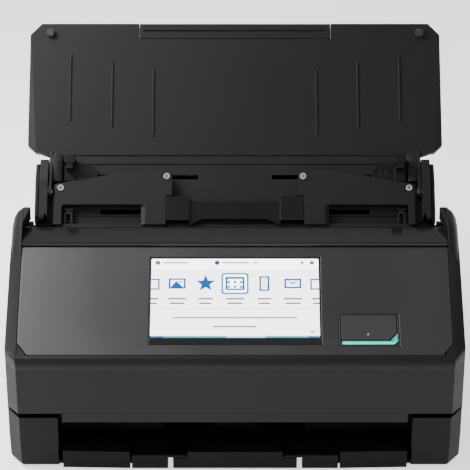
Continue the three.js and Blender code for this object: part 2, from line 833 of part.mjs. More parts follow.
function makeSideGuide() {
  const low = fitGap;
  const middle = (guideInner + guideOuter) / 2;
  const foot = block(guideInner, guideOuter, guideLow, guideHigh, low, guideBase);
  const head = upward([
    [guideInner, neckHigh], [guideOuter, neckHigh], [guideOuter, guideHigh, headCorner],
    [guideInner, guideHigh, headCorner],
  ], guideBase - fitGap, guideClip);
  const tongue = block(middle - tongueHalf, middle + tongueHalf, headLow, neckHigh + fitGap,
    guideBase + runGap, guideClip - hookStep);
  const neck = block(guideInner + notchIn, guideOuter - notchIn, neckLow, neckHigh + fitGap,
    guideBase - fitGap, guideClip - hookStep);
  const grip = upward([
    [gripInner, guideLow], [guideInner + fitGap, guideLow], [guideInner + fitGap, gripHigh],
    [gripInner + gripBevel, gripHigh, smallCorner], [gripInner, gripHigh - gripBevel],
  ], low, gripThick);
  const ribs = [];
  for (let x = gripInner + gripBevel; x < guideInner - gripBevel; x += gripRibEvery) {
    ribs.push(block(x, x + gripRibWidth, guideLow + plate, gripHigh - gripBevel, gripThick - fitGap,
      gripThick + fitGap));
  }
  const stem = block(stemInner, stemOuter, slotAlong - stemWidth / 2, slotAlong + stemWidth / 2,
    fitGap - rackDepth, low + fitGap);
  return joined(foot, head, neck, tongue, grip, ...ribs, stem);
}

// A rack with straight-sided teeth that face down or up the chute
function makeRack(facing, near, far) {
  const radius = (gearModule * pinionTeeth) / 2;
  const pitch = Math.PI * gearModule;
  const line = pinionPlace + facing * radius;
  const tip = line - facing * toothReach;
  const root = line + facing * toothRoot;
  const back = root + facing * rackBack;
  const half = pitch / 4 - toothSlack / 2;
  const lean = toothReach * Math.tan(pressureAngle * degree);
  const points = [[near, back]];
  const first = Math.ceil(near / pitch - 0.5) + 1;
  const last = Math.floor(far / pitch - 0.5) - 1;
  points.push([near, root]);
  for (let count = first; count <= last; count += 1) {
    const x = (count + 0.5) * pitch;
    points.push([x - half - lean, root], [x - half + lean, tip], [x + half - lean, tip],
      [x + half + lean, root]);
  }
  points.push([far, root], [far, back]);
  return upward(facing > 0 ? points.toReversed() : points, -rackDepth - rackThick, -rackDepth);
}

function makeLeftRack() {
  const radius = (gearModule * pinionTeeth) / 2;
  const far = pinionPlace + radius + toothRoot + rackBack;
  const teeth = makeRack(1, -stemOuter, rackPast);
  const arm = block(-stemOuter, -stemInner, slotAlong - stemWidth, far, -rackDepth - rackThick,
    -rackDepth);
  return joined(teeth, arm);
}

function makeRightRack() {
  const radius = (gearModule * pinionTeeth) / 2;
  const far = pinionPlace - radius - toothRoot - rackBack;
  const teeth = makeRack(-1, -rackPast, stemOuter);
  const arm = block(stemInner, stemOuter, far, slotAlong + stemWidth / 2, -rackDepth - rackThick,
    -rackDepth);
  return joined(teeth, arm);
}

function makePinion() {
  const radius = (gearModule * pinionTeeth) / 2;
  const tip = radius + toothReach;
  const root = radius - toothRoot;
  const half = (Math.PI / 2 - toothSlack / gearModule) / pinionTeeth;
  const widen = (toothReach * Math.tan(pressureAngle * degree)) / radius;
  const points = [];
  for (let count = 0; count < pinionTeeth; count += 1) {
    const middle = (count * 2 * Math.PI) / pinionTeeth + Math.PI / 2;
    [[root, -half - widen], [radius, -half], [tip, -half + widen], [tip, half - widen], [radius, half],
      [root, half + widen]].forEach(([distance, angle]) => {
      points.push([distance * Math.cos(middle + angle),
        pinionPlace + distance * Math.sin(middle + angle)]);
    });
  }
  const wheel = upward(points, -rackDepth - rackThick, -rackDepth);
  const hub = peg(2 * axleRadius, 0, pinionPlace, -rackDepth - 2 * rackThick, -rackDepth);
  const axle = peg(axleRadius, 0, pinionPlace, -rackDepth - 2 * rackThick, -plate / 2);
  return joined(wheel, hub, axle);
}

// Receipt guide: a plate over the feeder with two windows, and a bridge over the receipt's channel
const sheetTop = 6.4;
const sheetThick = 2.2;
const wingCorner = 4;
const wingOuter = 120;
const wingInner = 41.4;
const wingNotch = 45.4;
const wingFoot = -5.6;
const skirtFoot = -7.6;
const skirtLow = 1.2;
const wingSide = 22.5;
const wingPeak = 31.3;
const peakOuter = 66.6;
const notchAlong = 14.3;
const windowInner = 61.8;
const windowOuter = 113.8;
const windowHead = 8;
const windowFlare = 3.4;
const windowDrop = 1.5;
const edgeBevel = 2;
const edgeDrop = 1.4;
const rivetRadius = 1.5;
const rivetPlaces = [[114.5, 19.5], [44.9, 27.5]];
const bridgeInner = 29.6;
const bridgeHead = 13.8;
const bridgeRise = 7.6;
const pierDrop = 1;
const spanLow = -1.5;
const spanHigh = 10.5;
const spanDrop = 2.5;
const spanSlope = 9;
const spanThick = 2.2;

function makeReceiptGuide() {
  const outline = (out) => softened([
    [wingInner, notchAlong], [wingNotch, notchAlong], [wingNotch, wingFoot], [wingOuter - out, wingFoot],
    [wingOuter - out, wingSide - out / 2, wingCorner], [peakOuter, wingPeak],
    [wingNotch, wingPeak, mediumCorner],
    [wingInner, wingPeak - wall, mediumCorner],
  ]).map((point) => [point.x, point.y]);
  const rings = [[sheetTop - sheetThick, 0], [sheetTop - edgeDrop, 0], [sheetTop, edgeBevel]]
    .map(([height, out]) => outline(out).map(([x, along]) => [x, along, height]));
  const sheet = lofted(rings, ([x, y]) => [x, y]);
  const opening = (out) => softened([
    [windowInner - out, wingFoot - overrun], [windowOuter, wingFoot - overrun],
    [windowOuter, windowHead, mediumCorner],
    [windowInner - out, windowHead, mediumCorner],
  ]).map((point) => [point.x, point.y]);
  const under = sheetTop - sheetThick - fitGap;
  const levels = [[under, 0], [sheetTop - windowDrop, 0], [sheetTop + fitGap, windowFlare]]
    .map(([height, out]) => opening(out).map(([x, along]) => [x, along, height]));
  const window = lofted(levels, ([x, y]) => [x, y]);
  const leg = block(wingOuter - wall, wingOuter - fitGap, wingFoot, notchAlong + plate, fitGap,
    sheetTop - edgeDrop);
  const rib = block(wingNotch + fitGap, wingNotch + wall, wingFoot, notchAlong, fitGap,
    sheetTop - edgeDrop);
  const holes = rivetPlaces.map(([x, along]) => peg(rivetRadius, x, along, 0, sheetTop + overrun));
  const wing = without(joined(sheet, leg, rib), window, ...holes);
  const skirt = block(wingNotch, wingOuter - wall, skirtFoot, wingFoot + sheetThick / 2, skirtLow,
    sheetTop - sheetThick + fitGap);
  const tie = block(-wingNotch - fitGap, wingNotch + fitGap, skirtFoot, wingFoot + sheetThick / 2,
    skirtLow,
    bridgeRise - spanThick - spanDrop - fitGap);
  return joined(bothSides(joined(wing, skirt)), tie);
}

function makeBridge() {
  const side = wingNotch - fitGap;
  const foot = wingFoot + wall + fitGap;
  const high = bridgeRise - pierDrop;
  const spanTop = bridgeRise - spanDrop;
  const pier = across([
    [foot, fitGap + sheetThick], [bridgeHead, fitGap], [bridgeHead, high, smallCorner],
    [foot, high, smallCorner],
  ], bridgeInner, side);
  const span = block(-side, side, spanLow, spanHigh, spanTop - spanThick, spanTop);
  const corner = upward([
    [bridgeInner + fitGap, spanLow - spanSlope / 2], [bridgeInner + fitGap, spanLow + fitGap],
    [bridgeInner - spanSlope, spanLow + fitGap],
  ], spanTop - spanThick, spanTop);
  return joined(bothSides(joined(pier, corner)), span);
}

// Paper cover: an inner tray with the hinge arms, an outer shell, studs and a pull-out extension
const coverHalf = 137.6;
const coverFar = 137.2;
const coverNear = 44.2;
const cornerAcross = 7.6;
const cornerAlong = 8;
const sideFoot = 51.4;
const gussetOuter = 132.3;
const gussetTop = 46.3;
const gussetInner = 113;
const gussetFoot = 39.9;
const trayThick = 4;
const shellThick = 2.7;
const shellBevel = 1.4;
const flareInner = 131.4;
const flareDepth = 2.4;
const armInner = 120.6;
const armOuter = 122.6;
const armBoss = 4;
const armReach = 48;
const leafInner = 113.6;
const leafLow = 25;
const leafLift = 1.8;
const leafRise = 1.8;
const leafThick = 1.2;
const ribXs = [54.5, 82, 110];
const ribLows = [56.7, 63, 67.7];
const ribLength = 48;
const ribWide = 0.9;
const ribRise = 0.7;
const studX = 124;
const studAlong = 130.2;
const studRadius = 2.85;
const studHeight = 3;
const extensionHalf = 64.5;
const extensionNotch = 126.4;
const channelHalf = 60.4;
const channelFoot = 49;
const channelRoof = 2.1;
const tongueFoot = 50;
const tongueThick = 1.5;
const gripLineAlong = 4.6;
const gripLineWide = 0.9;
const gripLineDepth = 0.8;

function coverOutline(inset) {
  return [
    [coverHalf - inset, sideFoot + inset], [coverHalf - inset, coverFar - cornerAlong],
    [coverHalf - cornerAcross, coverFar - inset], [-coverHalf + cornerAcross, coverFar - inset],
    [-coverHalf + inset, coverFar - cornerAlong], [-coverHalf + inset, sideFoot + inset],
    [-gussetOuter, gussetTop + inset], [-gussetInner, coverNear + inset],
    [gussetInner, coverNear + inset],
    [gussetOuter, gussetTop + inset],
  ];
}

// The notch in the cover's far edge that the extension's grip fills
function extensionRoom() {
  return block(-extensionHalf, extensionHalf, extensionNotch, coverFar + overrun, -halfWidth, halfWidth);
}

function makeCoverTray() {
  const deck = upward(coverOutline(0), -trayThick, 0);
  const gusset = bothSides(upward([
    [gussetInner, gussetFoot], [gussetOuter, gussetTop + fitGap], [gussetInner, gussetTop + overrun],
  ], -trayThick, 0));
  const flare = bothSides(lofted([
    [[flareInner, coverNear - overrun, 0], [halfWidth, coverNear - overrun, -flareDepth],
      [halfWidth, coverNear - overrun, overrun], [flareInner, coverNear - overrun, overrun]],
    [[coverHalf, coverFar + overrun, 0], [halfWidth, coverFar + overrun, -flareDepth / 2],
      [halfWidth, coverFar + overrun, overrun], [coverHalf, coverFar + overrun, overrun]],
  ], ([x, , z]) => [x, z]));
  const notch = extensionRoom();
  const channel = block(-channelHalf, channelHalf, channelFoot, coverFar, -trayThick - overrun,
    -channelRoof);
  const ribs = ribXs.map((x, index) => across([
    [ribLows[index], -ribRise], [ribLows[index] + ribLength, -ribRise],
    [ribLows[index] + ribLength - ribRise, ribRise], [ribLows[index] + ribRise, ribRise],
  ], x - ribWide / 2, x + ribWide / 2));
  const board = without(joined(deck, gusset), flare, notch, channel);
  return joined(board, ...ribs.map(bothSides), bothSides(makeArm()));
}

// A hinge arm of the cover: an eye round the pin, a blade, and a broad leaf that is rounded across
function makeArm() {
  const eye = rod(armBoss, armInner, armOuter, pivotAlong, pivotAbove);
  const blade = across([
    [pivotAlong, pivotAbove - armBoss], [chuteShoulder, fitGap],
    [gussetFoot + ribRise, -trayThick + ribRise],
    [armReach, -trayThick + ribRise], [armReach, -ribRise], [gussetTop, ribRise], [chuteShoulder, plate],
    [pivotAlong + armBoss, pivotAbove + armBoss - ribRise], [pivotAlong, pivotAbove + armBoss],
  ], armInner, armOuter);
  const [middle, half] = [(leafInner + armOuter) / 2, (armOuter - leafInner) / 2];
  const arch = new THREE.EllipseCurve(middle, 0, half, leafRise, 0, Math.PI).getPoints(2 * cornerSteps)
    .map((point) => [point.x, point.y]);
  const section = [...arch, [leafInner, -leafThick], [armOuter, -leafThick]];
  const rings = [[leafLow, leafLift], [chuteShoulder, leafLift], [gussetTop, -leafLift]]
    .map(([along, lift]) => section.map(([x, high]) => [x, along, lift + high]));
  const leaf = lofted(rings, ([x, , z]) => [x, z]);
  const bore = rod(pinRadius + fitGap, 0, halfWidth, pivotAlong, pivotAbove);
  return without(joined(eye, blade, leaf), bore);
}

function makeCoverShell() {
  const high = -trayThick - fitGap;
  const rings = [[high, 0], [high - shellThick + shellBevel, 0], [high - shellThick, shellBevel]]
    .map(([height, inset]) => coverOutline(inset).map(([x, along]) => [x, along, height]));
  return without(lofted(rings, ([x, y]) => [x, y]), extensionRoom());
}

function makeExtension() {
  const half = extensionHalf - fitGap;
  const low = -trayThick - shellThick;
  const grip = block(-half, half, extensionNotch + fitGap, coverFar, low, 0);
  const roof = -channelRoof - fitGap;
  const tongue = block(fitGap - channelHalf, channelHalf - fitGap, tongueFoot, extensionNotch + plate,
    roof - tongueThick, roof);
  const line = block(-half + plate, half - plate, coverFar - gripLineAlong - gripLineWide,
    coverFar - gripLineAlong, -gripLineDepth, overrun);
  return joined(without(grip, line), tongue);
}

function makeStud() {
  return peg(studRadius, studX, studAlong, fitGap / 2, studHeight);
}

function makeCoverPin() {
  return rod(pinRadius, armInner - fitGap, chuteHalf - wall, pivotAlong, pivotAbove);
}

// Front section: cheeks, face with cove, control panel, feed lip and what they hold
const cheekInner = 138.3;
const cheekFoot = seamHeight + seamGap;
const footBevel = 1.2;
const noseFoot = 75.1;
const noseOut = 2;
const noseSteps = 6;
const hornFoot = 71.4;
const hornY = 84;
const hornZ = 133;
const tipY = 97.5;
const tipZ = 138;
const cheekRim = 0.2;
const cheekBevel = 5.5;
const hornDrop = 14;
const cheekSlant = 1;
const cheekLift = 0.4;
const stripHalf = 110.6;
const stripFoot = 34.5;
const stripBack = 0.8;
const bracketInner = 134.6;
const bracketOuter = 137.4;

// The rounded nose under the panel's edge: it leaves the upright face, swells past it and turns in to
// the edge
function noseCurve() {
  const [edgeY, edgeZ] = onPanel(-fitGap, 0);
  const foot = new THREE.Vector2(0, noseFoot);
  const low = new THREE.Vector2(-noseOut, noseFoot + noseOut / 2);
  const high = new THREE.Vector2(-noseOut, edgeZ - noseOut / 2);
  return new THREE.CubicBezierCurve(foot, low, high, new THREE.Vector2(edgeY, edgeZ)).getPoints(noseSteps)
    .map((point) => [point.x, point.y]);
}

// A side of the front cover: its corner runs back to the side face, and the nose fades out across it
function makeCheek() {
  const foot = pathCrossing(cheekRim, cheekFoot);
  const head = onPath(shoulderAlong + cheekRim * 2, cheekRim);
  const nose = noseCurve();
  const cornerY = cornerDepth - cheekSlant;
  const inner = [
    [footBevel, cheekFoot], [0, cheekFoot + footBevel], ...nose, onPanel(0, cheekLift),
    onPanel(hornFoot, cheekLift), [hornY, hornZ], [tipY, tipZ], head, foot,
  ];
  const outer = [
    [cornerY, cheekFoot], [cornerY, cheekFoot + footBevel], ...nose.map(([, z]) => [cornerY, z]),
    [cornerDepth, panelFootZ + cheekLift], onPanel(hornFoot, -cheekBevel), [hornY, hornZ - hornDrop],
    [tipY - cheekSlant, tipZ - hornDrop], head, foot,
  ];
  const rings = [
    inner.map(([y, z]) => [cheekInner, y, z]),
    inner.map(([y, z]) => [cheekInner + fitGap, y, z]),
    outer.map(([y, z]) => [halfWidth, y, z]),
  ];
  return lofted(rings, ([, y, z]) => [y, z]);
}

function makeFrontCover() {
  const nose = noseCurve();
  const skin = across([
    [footBevel, cheekFoot], [wall, cheekFoot], [wall, noseFoot],
    onPanel(2 * wall, -panelThick - wall), onPanel(2 * wall, -panelThick - fitGap),
    onPanel(-fitGap, -panelThick - fitGap), ...nose.toReversed(), [0, cheekFoot + footBevel],
  ], -cheekInner - fitGap, cheekInner + fitGap);
  const strip = block(-stripHalf, stripHalf, stripBack, wall, stripFoot, cheekFoot + fitGap);
  const bracket = joined(
    rod(earRadius, bracketInner, bracketOuter, frontPivotY, frontPivotZ),
    block(bracketInner, bracketOuter, wall - fitGap, frontPivotY, frontPivotZ - earRadius,
      frontPivotZ + earRadius),
  );
  const bore = rod(frontPinRadius + fitGap, 0, halfWidth, frontPivotY, frontPivotZ);
  const corner = onPanelPlane(upward([
    [guideHalf - panelCornerAcross + 2 * fitGap, -2 * fitGap], [cheekInner + fitGap, -2 * fitGap],
    [cheekInner + fitGap, panelCornerUp], [guideHalf + fitGap, panelCornerUp],
  ], -panelThick - wall, -cornerStep));
  const flange = onPanelPlane(block(guideHalf - flangeWide, cheekInner + fitGap, wall - fitGap,
    flangeLong,
    -panelThick - wall, -panelThick - runGap));
  return joined(skin, strip, bothSides(joined(makeCheek(), corner, flange, without(bracket, bore))));
}

const panelThick = 2.6;
const cornerStep = 0.3;
const panelCornerAcross = 6.5;
const panelCornerUp = 8.5;
const flangeLong = 13;
const flangeWide = 12;
const screenHalf = 55;
const screenFoot = 7.2;
const screenHead = 71.8;
const screenThick = 4.2;
const screenSink = 0.3;
const buttonLeft = 65.6;
const buttonRight = 104.4;
const buttonFoot = 6.5;
const buttonHead = 30;
const surroundRim = 1;
const faceLow = 10.9;
const faceHigh = 29;
const buttonThick = 4;
const lightFoot = 7.4;
const lightHead = 10.2;
const lightRise = 15.7;
const buttonUnder = -1.6;
const buttonTravel = 0.8;
const springCoil = 3;
const springWire = 0.35;
const springTurns = 2;
const springSteps = 8;
const springSides = 5;

function makeControlPanel() {
  const outline = [
    [-guideHalf + panelCornerAcross, 0], [guideHalf - panelCornerAcross, 0], [guideHalf, panelCornerUp],
    [guideHalf, panelLength], [-guideHalf, panelLength], [-guideHalf, panelCornerUp],
  ];
  const sheet = upward(outline, -panelThick, 0);
  const screen = block(-screenHalf, screenHalf, screenFoot, screenHead, -halfWidth, overrun);
  const button = block(buttonLeft, buttonRight, buttonFoot, buttonHead, -halfWidth, overrun);
  return without(sheet, screen, button);
}

function makeTouchScreen() {
  const half = screenHalf - fitGap;
  const glassPane = block(-half, half, screenFoot + fitGap, screenHead - fitGap, -panelThick,
    -screenSink);
  const module = block(-half + plate, half - plate, screenFoot + plate, screenHead - plate, -screenThick,
    -panelThick + fitGap);
  return joined(glassPane, module);
}

// The button's surround: a dish with a hole for the button's stem, cut away for the light strip
function makeSurround() {
  const [left, right] = [buttonLeft + fitGap, buttonRight - fitGap];
  const [foot, head] = [buttonFoot + fitGap, buttonHead - fitGap];
  const body = block(left, right, foot, head, -buttonThick - wall, 0);
  const dish = block(left + surroundRim, right - surroundRim, faceLow - runGap, head - surroundRim,
    -buttonThick, overrun);
  const light = lightOutline(0);
  return without(body, dish, upward(light, -panelThick / 2, overrun));
}

// The light strip runs along the foot of the button and turns up at its right-hand corner
function lightOutline(gap) {
  const [left, right] = [buttonLeft + 2 * surroundRim + gap, buttonRight - surroundRim - gap];
  return [
    [left, lightFoot + gap], [right, lightFoot + gap], [right, lightRise - gap],
    [right - (lightHead - lightFoot) / 2 + 2 * gap, lightHead - gap], [left, lightHead - gap],
  ];
}

function makeScanButton() {
  const clear = surroundRim + runGap;
  const [left, right] = [buttonLeft + fitGap + clear, buttonRight - fitGap - clear];
  const corner = (lightRise - faceLow);
  const outline = [
    [left, faceLow, smallCorner], [right - corner, faceLow], [right, lightRise + runGap],
    [right, faceHigh - runGap, smallCorner],
    [left, faceHigh - runGap, smallCorner],
  ];
  return upward(outline, buttonUnder, screenSink);
}

// The return spring under the button, pressed down, as one wire wound round an axis square to the panel
function makeSpring() {
  const count = springTurns * springSteps;
  const low = -buttonThick + (springWire + fitGap) / 2;
  const rise = buttonUnder - buttonTravel - (springWire + fitGap) / 2 - low;
  const centreX = (buttonLeft + buttonRight) / 2;
  const centreUp = (faceLow + faceHigh) / 2;
  const rings = [];
  for (let step = 0; step <= count; step += 1) {
    const turn = (step * 2 * Math.PI) / springSteps;
    const out = [Math.cos(turn), Math.sin(turn)];
    const ring = [];
    for (let side = 0; side < springSides; side += 1) {
      const angle = (side * 2 * Math.PI) / springSides;
      const distance = springCoil + (springWire / 2) * Math.cos(angle);
      const height = low + (rise * step) / count + (springWire / 2) * Math.sin(angle);
      ring.push([centreX + distance * out[0], centreUp + distance * out[1], height]);
    }
    rings.push(ring);
  }
  return lofted(rings, ([x, y, z]) => [Math.hypot(x - centreX, y - centreUp), z]);
}

const lipFront = 73.2;
const lipFrontZ = 125.3;
const lipRear = 90.8;
const lipRearZ = 127.1;
const lipThick = 2.5;
const lipNose = 1.8;
const lipNotchInner = 62;
const lipNotchOuter = 98;
const lipNotchDepth = 2.3;

function makeFeedLip() {
  const slab = across([
    [lipFront, lipFrontZ - lipThick], [lipFront, lipFrontZ, smallCorner],
    [lipRear, lipRearZ, smallCorner],
    [lipRear + lipNose, lipRearZ - lipNose], [lipRear + lipNose / 2, lipRearZ - lipThick],
  ].toReversed(), -guideHalf, guideHalf);
  const reach = lipRear + lipNose;
  const notch = block(lipNotchInner, lipNotchOuter, reach - lipNotchDepth, reach + overrun, 0,
    2 * mouthZ);
  return without(slab, notch);
}

const latchRadius = 1.5;
const latchAbove = 4.6;
const latchAlong = -4.4;

function makeLatchPin() {
  return rod(latchRadius, coreHalf + runGap, cheekInner - fitGap, latchAlong, latchAbove);
}

// Stacker: three trays that telescope out of the base, each with its own front plate, and a flip-up stop
const bow = 2;
const bowEnd = 1;
const facadeBack = 1.8;
const facadeFoot = 0.5;
const stackTop = 13.4;
const outerHalf = 111;
const outerInner = 67.7;
const middleHalf = 66.5;
const middleInner = 43.2;
const centreHalf = 40;
const outerLength = 118;
const middleLength = 108;
const centreLength = 98;
const trayFloor = 1.2;
const railWidth = 4;
const stopHalf = 16;
const stopFront = 5;
const stopLength = 16;
const stopThick = 1.6;
const stepInner = 30.8;
const tongueTall = 1.9;
const tongueCorner = 0.8;
const middleDrop = 2.7;
const notchDepth = 15;

const outerFloor = floorTop + fitGap;
const middleFloor = outerFloor + trayFloor + fitGap;
const centreFloor = middleFloor + trayFloor + fitGap;
const trayFront = facadeBack + 2 * runGap;

function makeOuterTray() {
  const half = outerHalf;
  const sheet = block(-half, half, trayFront, outerLength, outerFloor, outerFloor + trayFloor);
  const rail = block(outerInner, half, bowEnd, outerLength, outerFloor + fitGap, stackTop);
  const hollow = block(outerInner + railWidth, half - railWidth, facadeBack + wall,
    outerLength + overrun,
    outerFloor + trayFloor, stackTop - trayFloor);
  const facade = upward([
    [outerInner, -bow], [half, bowEnd - facadeBack], [half, facadeBack], [outerInner, facadeBack],
  ], facadeFoot, stackTop);
  const gap = block(-outerInner, outerInner, -overrun, outerLength + overrun, outerFloor + trayFloor,
    stackTop + overrun);
  const tray = without(joined(sheet, bothSides(without(rail, hollow))), gap, fingerNotch());
  return joined(tray, bothSides(facade));
}

// The open slit beside the centre tray, where a fingertip pulls it out
function fingerNotch() {
  return bothSides(block(centreHalf - fitGap, middleInner + fitGap, -overrun, notchDepth, 0, stackTop));
}

function makeMiddleTray() {
  const half = middleHalf;
  const high = stackTop - middleDrop;
  const sheet = block(-half, half, trayFront, middleLength, middleFloor, middleFloor + trayFloor);
  const rail = block(middleInner, half, facadeBack, middleLength, middleFloor + fitGap, high);
  const hollow = block(middleInner + railWidth, half - railWidth, facadeBack + wall,
    middleLength + overrun,
    middleFloor + trayFloor, high - trayFloor);
  const facade = block(middleInner, half, -bow, facadeBack + fitGap, facadeFoot, high);
  const tongue = rearward([
    [middleInner, high - tongueTall], [middleInner + fitGap, high - tongueTall],
    [middleInner + fitGap, high],
    [stepInner + runGap, high, tongueCorner], [stepInner + runGap, high - tongueTall, tongueCorner],
  ], -bow, notchDepth);
  const tray = without(joined(sheet, bothSides(without(rail, hollow))), fingerNotch());
  return joined(tray, bothSides(joined(facade, tongue)));
}

function makeCentreTray() {
  const half = centreHalf;
  const high = stackTop;
  const shoulder = high - middleDrop - tongueTall - runGap;
  const section = (low) => [
    [-half, low], [half, low], [half, shoulder, smallCorner], [stepInner, shoulder], [stepInner, high],
    [-stepInner, high], [-stepInner, shoulder], [-half, shoulder, smallCorner],
  ];
  const sheet = rearward(section(centreFloor), facadeBack, centreLength);
  const facade = rearward(section(facadeFoot), -bow, facadeBack + fitGap);
  const well = block(-stopHalf - fitGap, stopHalf + fitGap, stopFront - fitGap,
    stopFront + stopLength + fitGap, high - stopThick - 2 * fitGap, high + overrun);
  const hollow = block(railWidth - stepInner, stepInner - railWidth, stopFront + stopLength + railWidth,
    centreLength + overrun, centreFloor - overrun, high - wall);
  return without(joined(sheet, facade), well, hollow);
}

function makeStop() {
  const high = stackTop - fitGap;
  const pivot = stopFront + stopThick / 2;
  const flap = upward([
    [-stopHalf, pivot], [stopHalf, pivot], [stopHalf, stopFront + stopLength, mediumCorner],
    [-stopHalf, stopFront + stopLength, mediumCorner],
  ], high - stopThick, high);
  return joined(flap, rod(stopThick / 2, -stopHalf, stopHalf, pivot, high - stopThick / 2));
}

function makeFoot([x, y]) {
  return peg(footRadius, x, y, 0, footHeight + footSeat - fitGap);
}

// Assembly

add(scanner, 'base_tray', makeBaseTray(), charcoal());
add(scanner, 'rear_cover', makeRearCover(), charcoal());
const footNames = ['front_left_foot', 'front_right_foot', 'rear_left_foot', 'rear_right_foot'];
footPlaces().forEach((place, index) => add(scanner, footNames[index], makeFoot(place), rubber()));
add(scanner, 'main_board', makeBoard(), copperBoard());
add(scanner, 'power_inlet', makeInlet(), black());
add(scanner, 'data_socket', makeDataSocket(), steel());
addPair(scanner, 'front_hinge_pin',
  rod(frontPinRadius, earInner - fitGap, bracketOuter, frontPivotY, frontPivotZ), steel);

add(path, 'lower_guide', makeLowerGuide(), black());
add(path, 'chute', makeChute(), charcoal());
addPair(path, 'side_frame', makeSideFrame(), steel);
add(path, 'pick_roller', makeRoller(rollers.pick, rollerEnd), rubber());
add(path, 'feed_roller', makeRoller(rollers.feed, rollerEnd), rubber());
add(path, 'exit_roller', makeRoller(rollers.exit, rollerEnd), rubber());
add(path, 'drive_motor', makeMotor(), steel());
add(path, 'motor_pulley', makeMotorPulley(), steel());
add(path, 'drive_belt', makeBelt(), rubber());
add(path, 'rear_scan_unit', makeScanUnit(-plate - fitGap, -1), black());
add(path, 'rear_scan_glass', makeScanGlass(-plate, -tyreReach / 2), glass());
addPair(path, 'cover_pin', makeCoverPin(), steel);

add(path, 'left_side_guide', makeSideGuide(), black(), -1);
add(path, 'right_side_guide', makeSideGuide(), black(), 1);
add(path, 'left_rack', makeLeftRack(), black());
add(path, 'right_rack', makeRightRack(), black());
add(path, 'guide_pinion', makePinion(), black());

add(path, 'receipt_guide', makeReceiptGuide(), charcoal());
add(path, 'receipt_bridge', makeBridge(), black());

add(path, 'cover_tray', makeCoverTray(), charcoal());
add(path, 'cover_shell', makeCoverShell(), charcoal());
add(path, 'cover_extension', makeExtension(), charcoal());
addPair(path, 'cover_stud', makeStud(), rubber);

add(scanner, 'front_cover', makeFrontCover(), charcoal());
add(scanner, 'feed_lip', makeFeedLip(), glossBlack());
add(path, 'front_guide', makeFrontGuide(), black());
add(path, 'front_scan_unit', makeScanUnit(frontGap + wall + fitGap, 1), black());
add(path, 'front_scan_glass', makeScanGlass(frontGap + tyreReach / 2, frontGap + wall), glass());
add(path, 'brake_roller', makeRoller(idlers.brake, idlerLug + lugWidth), rubber());
add(path, 'feed_idler', makeRoller(idlers.feed, idlerLug + lugWidth), rubber());
add(path, 'exit_idler', makeRoller(idlers.exit, idlerLug + lugWidth), rubber());
addPair(path, 'latch_pin', makeLatchPin(), steel);
add(panel, 'control_panel', makeControlPanel(), charcoal());
add(panel, 'touch_screen', makeTouchScreen(), screenGlass());
add(panel, 'button_surround', makeSurround(), black());
add(panel, 'scan_button', makeScanButton(), charcoal());
add(panel, 'button_light', upward(lightOutline(fitGap), fitGap - panelThick / 2, -fitGap / 2), aqua());
add(panel, 'button_spring', makeSpring(), steel());

add(scanner, 'stacker_outer', makeOuterTray(), charcoal());
add(scanner, 'stacker_middle', makeMiddleTray(), charcoal());
add(scanner, 'stacker_centre', makeCentreTray(), charcoal());
add(scanner, 'stacker_stop', makeStop(), charcoal());

// The object's own origin is under the middle of its box,
// between the stacker's bow and the cover's far edge
const [farEdge] = onPath(coverFar, -trayThick - shellThick - fitGap + shellBevel);
scanner.position.y = -(farEdge - bow) / 2;

const model = new THREE.Group();
model.add(scanner);

export default model;
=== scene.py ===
"""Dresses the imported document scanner: rounded mouldings, a lit display, rollers with tyres, and a studio.

The frame is loaded first, and most sizes that a piece shares with the solids are read from it. Lengths
are millimetres and turn to metres where points go into a mesh. Metres are the properties with a unit of
length, the widths of bevels, and the places and sizes of lamps and camera.
"""
import json

import bmesh
import bpy
import numpy as np
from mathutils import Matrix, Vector


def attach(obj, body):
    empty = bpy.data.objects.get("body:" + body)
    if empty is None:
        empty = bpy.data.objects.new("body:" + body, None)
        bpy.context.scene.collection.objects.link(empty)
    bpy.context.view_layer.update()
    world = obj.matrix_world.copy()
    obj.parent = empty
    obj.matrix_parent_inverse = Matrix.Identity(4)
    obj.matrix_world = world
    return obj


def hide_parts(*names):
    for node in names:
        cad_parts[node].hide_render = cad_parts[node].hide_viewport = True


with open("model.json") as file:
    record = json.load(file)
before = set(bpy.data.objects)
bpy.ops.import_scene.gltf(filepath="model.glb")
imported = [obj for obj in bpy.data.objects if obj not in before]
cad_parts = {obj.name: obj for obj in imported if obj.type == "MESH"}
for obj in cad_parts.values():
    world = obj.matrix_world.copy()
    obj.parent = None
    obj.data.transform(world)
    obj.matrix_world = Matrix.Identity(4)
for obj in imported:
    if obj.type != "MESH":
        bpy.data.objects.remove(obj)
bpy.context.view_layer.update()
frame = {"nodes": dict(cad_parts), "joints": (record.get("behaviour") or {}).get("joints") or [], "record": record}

bl_info = {
    "name": "Document Scanner",
    "version": (1, 0, 0),
    "blender": (4, 5, 0),
    "location": "View3D > Sidebar > Scanner",
    "description": "Finishes, trim, display and studio for a sheet-fed document scanner",
    "category": "Object",
}

MM = 0.001

# How much lighter a moulding's edges are painted than its faces: a little wear, and a painted highlight for the
# light that rounded edges catch
EDGE_WEAR_AND_HIGHLIGHT = 1.18

# The scanner's two slopes, read from the way its joints run
JOINTS = {joint["name"]: joint for joint in frame["joints"]}
ACROSS = np.array([1.0, 0.0, 0.0])
PATH_UP = np.array(JOINTS["extension_slide"]["axis"], float)
PATH_OUT = np.cross(ACROSS, PATH_UP)
PANEL_OUT = -np.array(JOINTS["scan_button_press"]["axis"], float)
PANEL_UP = np.cross(PANEL_OUT, ACROSS)
PATH_AXES = np.stack([ACROSS, PATH_UP, PATH_OUT])
PANEL_AXES = np.stack([ACROSS, PANEL_UP, PANEL_OUT])
LEVEL_AXES = np.eye(3)


def linear(hex_colour):
    """Turns an sRGB hex colour such as #3a3a3c to linear red, green and blue."""
    parts = np.array([int(hex_colour[at:at + 2], 16) for at in (1, 3, 5)]) / 255
    return tuple(np.where(parts <= 0.04045, parts / 12.92, ((parts + 0.055) / 1.055) ** 2.4))


